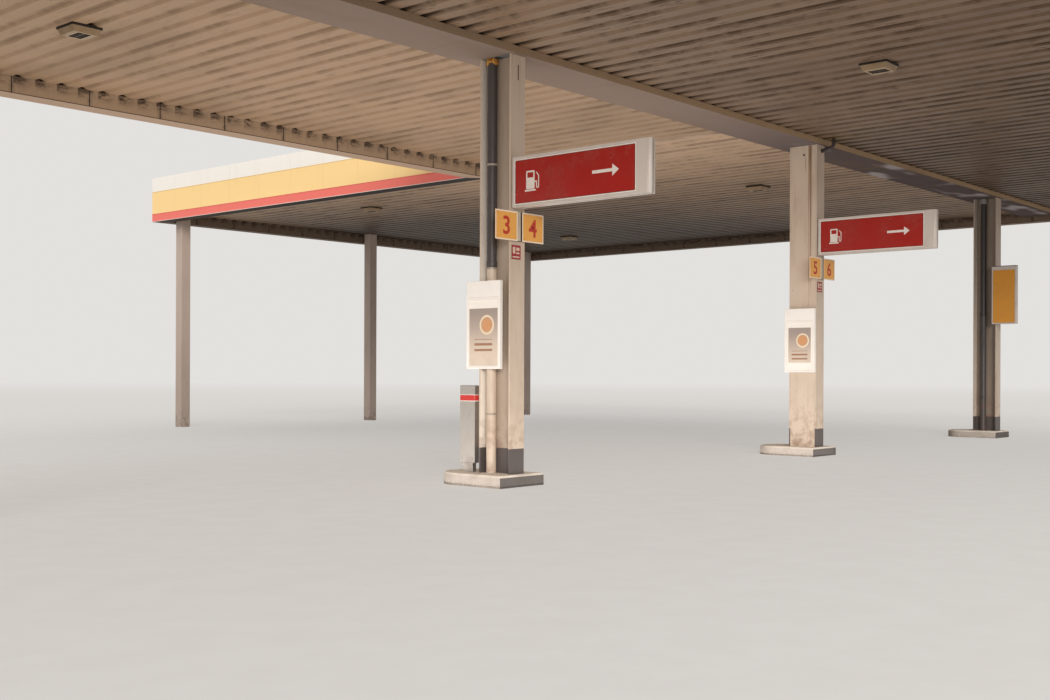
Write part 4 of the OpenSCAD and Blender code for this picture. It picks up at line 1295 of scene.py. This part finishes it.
class CANOPY_OT_upright_panels(bpy.types.Operator):
    """Adds the yellow panels and the cap of the upright sign"""
    bl_idname = "canopy.upright_panels"
    bl_label = "Upright Sign"

    def execute(self, context):
        edge, header = sizes().upright_frame, sizes().upright_header
        low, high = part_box("upright_sign")
        thick, wide = high.x - low.x, high.y - low.y
        width = wide - 2 * edge
        height = high.z - low.z - header - edge
        middle = Vector(((low.x + high.x) / 2, (low.y + high.y) / 2, low.z + edge + height / 2))
        recess, cap_height, cap_proud, cap_inside = 0.003, 0.012, 0.0006, 0.004
        panels, caps = stocks(2)
        for name, side in (("-X", -1), ("+X", 1)):
            place = facing(name, middle + Vector((side * (thick / 2 - recess), 0, 0)))
            panels.slab(rounded(width - 0.003, height - 0.003, 0.006), 0, 0.0024, place)
        caps.frame((thick + cap_proud, wide + cap_proud, 0.003),
                   (thick - cap_inside, wide - cap_inside, 0.002),
                   0, cap_height + 0.0002, facing("+Z", (middle.x, middle.y, high.z - cap_height)))
        show("upright_panels", panels, acrylic("upright_panel_yellow", colours().upright),
             bevel=0.0008)
        show("upright_cap", caps, coat("upright_cap_grey", 0.3))
        return {"FINISHED"}


class CANOPY_OT_guard_trim(bpy.types.Operator):
    """Adds the red band, its white lines and the screws of the guard post"""
    bl_idname = "canopy.guard_trim"
    bl_label = "Guard Post Trim"

    def execute(self, context):
        low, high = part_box("guard_post")
        centre_y = (low.y + high.y) / 2
        width, depth = high.x - low.x, high.y - low.y
        band, lines, screws = stocks(3)
        place = facing("+Z", ((low.x + high.x) / 2, centre_y, 0))
        outer, inner = (width + 0.002, depth + 0.002, 0.0065), (width - 0.008, depth - 0.008, 0.003)
        for stock, below, above in ((lines, 0.172, 0.165), (lines, 0.105, 0.100), (band, 0.165, 0.105)):
            stock.frame(outer, inner, high.z - below, high.z - above, place, steps=6)
        for height in (low.z + 0.15, high.z - 0.05):
            for side in (-1, 1):
                spot = (low.x, centre_y + side * depth * 0.36, height)
                screws.lathe(((0.007, -SUNK), (0.006, 0.0015)), 10, facing("-X", spot))
        show("guard_band", band, film("guard_band_red"))
        show("guard_lines", lines, film("guard_lines_white"))
        show("guard_screws", screws, bare_zinc())
        return {"FINISHED"}


class CANOPY_OT_pipe_fittings(bpy.types.Operator):
    """Adds the clamps, collars, the foam seal and the pale socket of the rain pipes"""
    bl_idname = "canopy.pipe_fittings"
    bl_label = "Pipe Fittings"

    SIDES = 40

    def execute(self, context):
        clamps, far_clamps, bolts, sockets, pale = stocks(5)
        low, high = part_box("standpipes")
        radius = sizes().pipe_d / 2
        offset = low.x + radius - COLUMN_X[0]
        near_y, last_y = high.y - radius, low.y + radius
        inner = 0.0549
        outer = inner + 0.0028
        clamp = ((inner, 0), (outer, 0.002), (outer, 0.020), (inner, 0.022))
        socket = ((0.0535, 0), (0.057, 0.004), (0.057, 0.052), (0.0535, 0.056))
        pale_socket = ((0.0525, 0), (0.060, 0.004), (0.060, 0.094), (0.0525, 0.098))
        for index, y in ((0, near_y), (1, near_y), (3, last_y)):
            x = COLUMN_X[index] + offset
            for z in (high.z - 0.004, high.z + 1.106, 0.75):
                self.hoop(far_clamps if index == 3 else clamps, clamp, (x, y, z))
                for side in (-1, 1):
                    spot = facing("-X", (x - inner * 0.2, y + side * (inner + 0.001), z + 0.014))
                    bolts.lathe(((0.005, 0), (0.005, 0.008), (0.003, 0.010)), 6, spot)
            self.hoop(sockets, socket, (x, y, high.z + 0.03))
        self.hoop(pale, pale_socket, (COLUMN_X[3] + offset, last_y, CASING_LOW.z - 0.10))
        show("pipe_clamps", clamps, coat("clamp_cream", 0.25))
        show("last_pipe_clamps", far_clamps, dark_pipe())
        show("clamp_bolts", bolts, bare_zinc())
        show("pipe_sockets", sockets, dark_pipe())
        show("pale_socket", pale, coat("socket_grey", 0.3))
        self.foam(COLUMN_X[1] + offset, near_y)
        return {"FINISHED"}

    def hoop(self, stock, section, centre):
        stock.lathe(section, self.SIDES, shift(*centre), hoop=True)

    def foam(self, x, y):
        """Lumpy foam round the top of the second column's pipe"""
        rings, inner, swell, half_height = 10, 0.0525, 0.013, 0.036
        turns = [2 * math.pi * ring / rings for ring in range(rings)]
        stock = Stock()
        self.hoop(stock, [(inner + swell * (0.5 - 0.5 * math.cos(turn)), -half_height * (1 + math.sin(turn)))
                          for turn in turns], (0, 0, 0))
        for index, point in enumerate(stock.points):
            turn = math.atan2(point.y, point.x)
            lump = 1 + 0.05 * math.sin(5 * turn + 40 * point.z) + 0.04 * math.sin(11 * turn + 1.3)
            drop = 0.9 + 0.18 * math.sin(3 * turn)
            stock.points[index] = Vector((x + point.x * lump, y + point.y * lump,
                                          CASING_LOW.z + point.z * drop))
        show("pipe_foam", stock, old_foam(), angle=80)


class CANOPY_OT_column_details(bpy.types.Operator):
    """Adds the rusty slot of a column, and the screws, rust runs and a dark disc of painted shade for the
    hole of the pipe's cover
    """
    bl_idname = "canopy.column_details"
    bl_label = "Column Details"

    def execute(self, context):
        slot, screws, hole, runs = stocks(4)
        slot.slab(rounded(0.015, 0.165, 0.006), -SUNK, 0.0006,
                  facing("-Y", (COLUMN_X[1] + 0.002, -FLANGE_Y, 4.38)))
        low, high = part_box("pipe_cover")
        screw_pitch, screw_edge = 0.72, 0.03
        z = low.z + 0.15
        while z < high.z:
            screws.screw(0.010, facing("-X", (low.x, high.y - screw_edge, z)))
            z += screw_pitch
        # Painted shade: a dark disc where the cover has a hole
        hole.lathe(((0.016, -SUNK), (0.016, 0.0006)), 16, facing("-X", (low.x, -0.01, 4.425)))
        for y, wide, long in ((-0.118, 0.011, 2.3), (-0.09, 0.007, 0.9)):
            tongue = [(-wide, 0), (-wide * 0.5, -long * 0.5), (0, -long),
                      (wide * 0.6, -long * 0.4), (wide, 0)]
            runs.slab(tongue, -SUNK, 0.0004, facing("-X", (low.x, y, high.z - 0.01)))
        show("column_slot", slot, rusty_steel())
        show("cover_screws", screws, rusty_steel())
        show("cover_runs", runs, coat("rust_run", 0.3))
        show("cover_hole_shade", hole, dark_rubber())
        return {"FINISHED"}


class CANOPY_OT_gutter_outlets(bpy.types.Operator):
    """Adds a leaf guard over each gutter outlet"""
    bl_idname = "canopy.gutter_outlets"
    bl_label = "Gutter Outlets"

    def execute(self, context):
        stock = Stock()
        sheet, radius, height, wires, steps, wire_half = 0.003, 0.05, 0.07, 8, 10, 0.0015
        arch = [(radius * math.cos(math.pi * k / steps), height * math.sin(math.pi * k / steps))
                for k in range(steps + 1)]
        wire_outline = arch + [(x * 0.93, z * 0.93) for x, z in reversed(arch)]
        upright = Matrix.Rotation(math.pi / 2, 4, "X")
        for x in COLUMN_X:
            centre = shift(x, 0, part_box("roof_gutter")[0].z + sheet)
            stock.lathe(((0.07, 0), (0.07, 0.004), (0.055, 0.006)), 24, centre)
            for wire in range(wires):
                turn = Matrix.Rotation(math.pi * wire / wires, 4, "Z")
                stock.slab(wire_outline, -wire_half, wire_half, centre @ turn @ upright)
        show("gutter_leaf_guards", stock, bare_zinc())
        return {"FINISHED"}


class CANOPY_OT_studio(bpy.types.Operator):
    """Sets up the pale floor, the soft light and the camera"""
    bl_idname = "canopy.studio"
    bl_label = "Studio"

    def execute(self, context):
        stage = context.scene.canopy_stage
        self.floor()
        self.sky(stage.sky)
        self.key_light(stage.sun)
        self.soft_light("floor_bounce", stage.bounce, (11.0, 7.0), (8.2, 2.6, 0.02), (8.2, 2.6, 4.0))
        self.soft_light("front_fill", stage.front, (18.0, 5.0), (-13.0, -21.0, 4.5), (6.0, 0.0, 2.2), 70.0)
        self.camera(stage)
        context.scene.view_settings.view_transform = "Standard"
        return {"FINISHED"}

    def floor(self):
        half = 300.0
        mesh = bpy.data.meshes.new("studio_floor")
        mesh.from_pydata([(-half, -half, 0), (half, -half, 0), (half, half, 0), (-half, half, 0)], [],
                         [(0, 1, 2, 3)])
        mesh.materials.append(self.floor_material())
        floor = link("studio_floor", mesh)

    def floor_material(self):
        """Pale matt floor that keeps shadows, fades into the background and is open from below"""
        material = bpy.data.materials.new("studio_floor_pale")
        board = Board(emptied(material))
        place = board.add("ShaderNodeTexCoord").outputs["Object"]
        rays = board.add("ShaderNodeLightPath").outputs
        seen = board.most(rays["Is Camera Ray"], rays["Is Glossy Ray"])
        fine = board.fade(board.noise(place, 3.0, detail=4.0), 0.3, 0.7)
        tone = board.mix(fine, TONES["floor_dark"], TONES["floor_light"])
        matt = board.add("ShaderNodeBsdfDiffuse", {"Color": tone})
        glow = board.add("ShaderNodeEmission", {"Color": TONES["backdrop"], "Strength": 1.0})
        share = board.times(seen, board.fade(board.vector("LENGTH", {0: place}, "Value"), 30.0, 140.0, 0.55))
        lit = board.add("ShaderNodeMixShader", {0: share, 1: matt.outputs[0], 2: glow.outputs[0]})
        below = board.add("ShaderNodeNewGeometry").outputs["Backfacing"]
        clear = board.add("ShaderNodeBsdfTransparent")
        whole = board.add("ShaderNodeMixShader", {0: below, 1: lit.outputs[0], 2: clear.outputs[0]})
        board.add("ShaderNodeOutputMaterial", {"Surface": whole.outputs[0]})
        return material

    def sky(self, strength):
        """Even light, with a pale background where the camera sees it, also through glass"""
        world = bpy.data.worlds.new("studio_sky")
        board = Board(emptied(world))
        rays = board.add("ShaderNodeLightPath").outputs
        seen = board.most(rays["Is Camera Ray"], rays["Is Transmission Ray"])
        even = board.add("ShaderNodeBackground", {"Color": (1.0, 0.985, 0.965, 1.0), "Strength": strength})
        back = board.add("ShaderNodeBackground", {"Color": TONES["backdrop"], "Strength": 1.0})
        mixed = board.add("ShaderNodeMixShader", {0: seen, 1: even.outputs[0], 2: back.outputs[0]})
        board.add("ShaderNodeOutputWorld", {"Surface": mixed.outputs[0]})
        bpy.context.scene.world = world

    def key_light(self, strength):
        """Low soft light from the right of the camera, which reaches in under the roof"""
        data = bpy.data.lights.new("low_key", "SUN")
        data.energy = strength
        data.angle = math.radians(25)
        data.color = (1.0, 0.95, 0.88)
        link("low_key", data).rotation_euler = (math.radians(72), 0, math.radians(-46))

    def soft_light(self, name, power, size, place, target, spread=180.0):
        """Wide warm light at a place, turned towards a target"""
        data = bpy.data.lights.new(name, "AREA")
        data.shape = "RECTANGLE"
        data.size, data.size_y = size
        data.energy = power
        data.spread = math.radians(spread)
        data.color = (1.0, 0.96, 0.91)
        lamp = link(name, data)
        lamp.location = place
        lamp.rotation_euler = (Vector(target) - Vector(place)).to_track_quat("-Z", "Y").to_euler()
        lamp.visible_camera = False

    def camera(self, stage):
        data = bpy.data.cameras.new("photo_view")
        data.lens = stage.lens
        data.sensor_width = 36.0
        data.sensor_fit = "HORIZONTAL"
        data.shift_y = stage.shift
        data.clip_start = 0.1
        data.clip_end = 900.0
        camera = link("photo_view", data)
        turn = Matrix.Rotation(stage.heading - math.pi / 2, 4, "Z")
        level = Matrix.Rotation(math.pi / 2, 4, "X")
        camera.matrix_world = (Matrix.Translation(stage.eye) @ turn @ level
                               @ Matrix.Rotation(stage.roll, 4, "Z"))
        bpy.context.scene.camera = camera


OPERATORS = (
    CANOPY_OT_finish_frame, CANOPY_OT_panel_joints, CANOPY_OT_ceiling_screws, CANOPY_OT_roof_screws,
    CANOPY_OT_casing_seams, CANOPY_OT_light_trims, CANOPY_OT_sign_panels, CANOPY_OT_number_plates,
    CANOPY_OT_posters, CANOPY_OT_upright_panels, CANOPY_OT_guard_trim, CANOPY_OT_pipe_fittings,
    CANOPY_OT_column_details, CANOPY_OT_gutter_outlets, CANOPY_OT_studio,
)


class CANOPY_PT_sidebar(bpy.types.Panel):
    """Lists the canopy's sizes, colours and pieces"""
    bl_idname = "CANOPY_PT_sidebar"
    bl_label = "Canopy"
    bl_space_type = "VIEW_3D"
    bl_region_type = "UI"
    bl_category = "Canopy"

    def draw(self, context):
        layout = self.layout
        for operator in OPERATORS:
            layout.operator(operator.bl_idname)
        for group in (context.scene.canopy_sizes, context.scene.canopy_colours, context.scene.canopy_stage):
            box = layout.box()
            for name in group.__annotations__:
                box.prop(group, name)


GROUPS = {"canopy_sizes": CanopySizes, "canopy_colours": CanopyColours, "canopy_stage": CanopyStage}


def register():
    for group in GROUPS.values():
        bpy.utils.register_class(group)
    for name, group in GROUPS.items():
        setattr(bpy.types.Scene, name, bpy.props.PointerProperty(type=group))
    for kind in (*OPERATORS, CANOPY_PT_sidebar):
        bpy.utils.register_class(kind)


def unregister():
    for kind in (CANOPY_PT_sidebar, *reversed(OPERATORS)):
        bpy.utils.unregister_class(kind)
    for name, group in GROUPS.items():
        delattr(bpy.types.Scene, name)
        bpy.utils.unregister_class(group)


def main():
    """Runs every operator in order"""
    register()
    for operator in OPERATORS:
        family, name = operator.bl_idname.split(".")
        getattr(getattr(bpy.ops, family), name)()


if __name__ == "__main__":
    main()
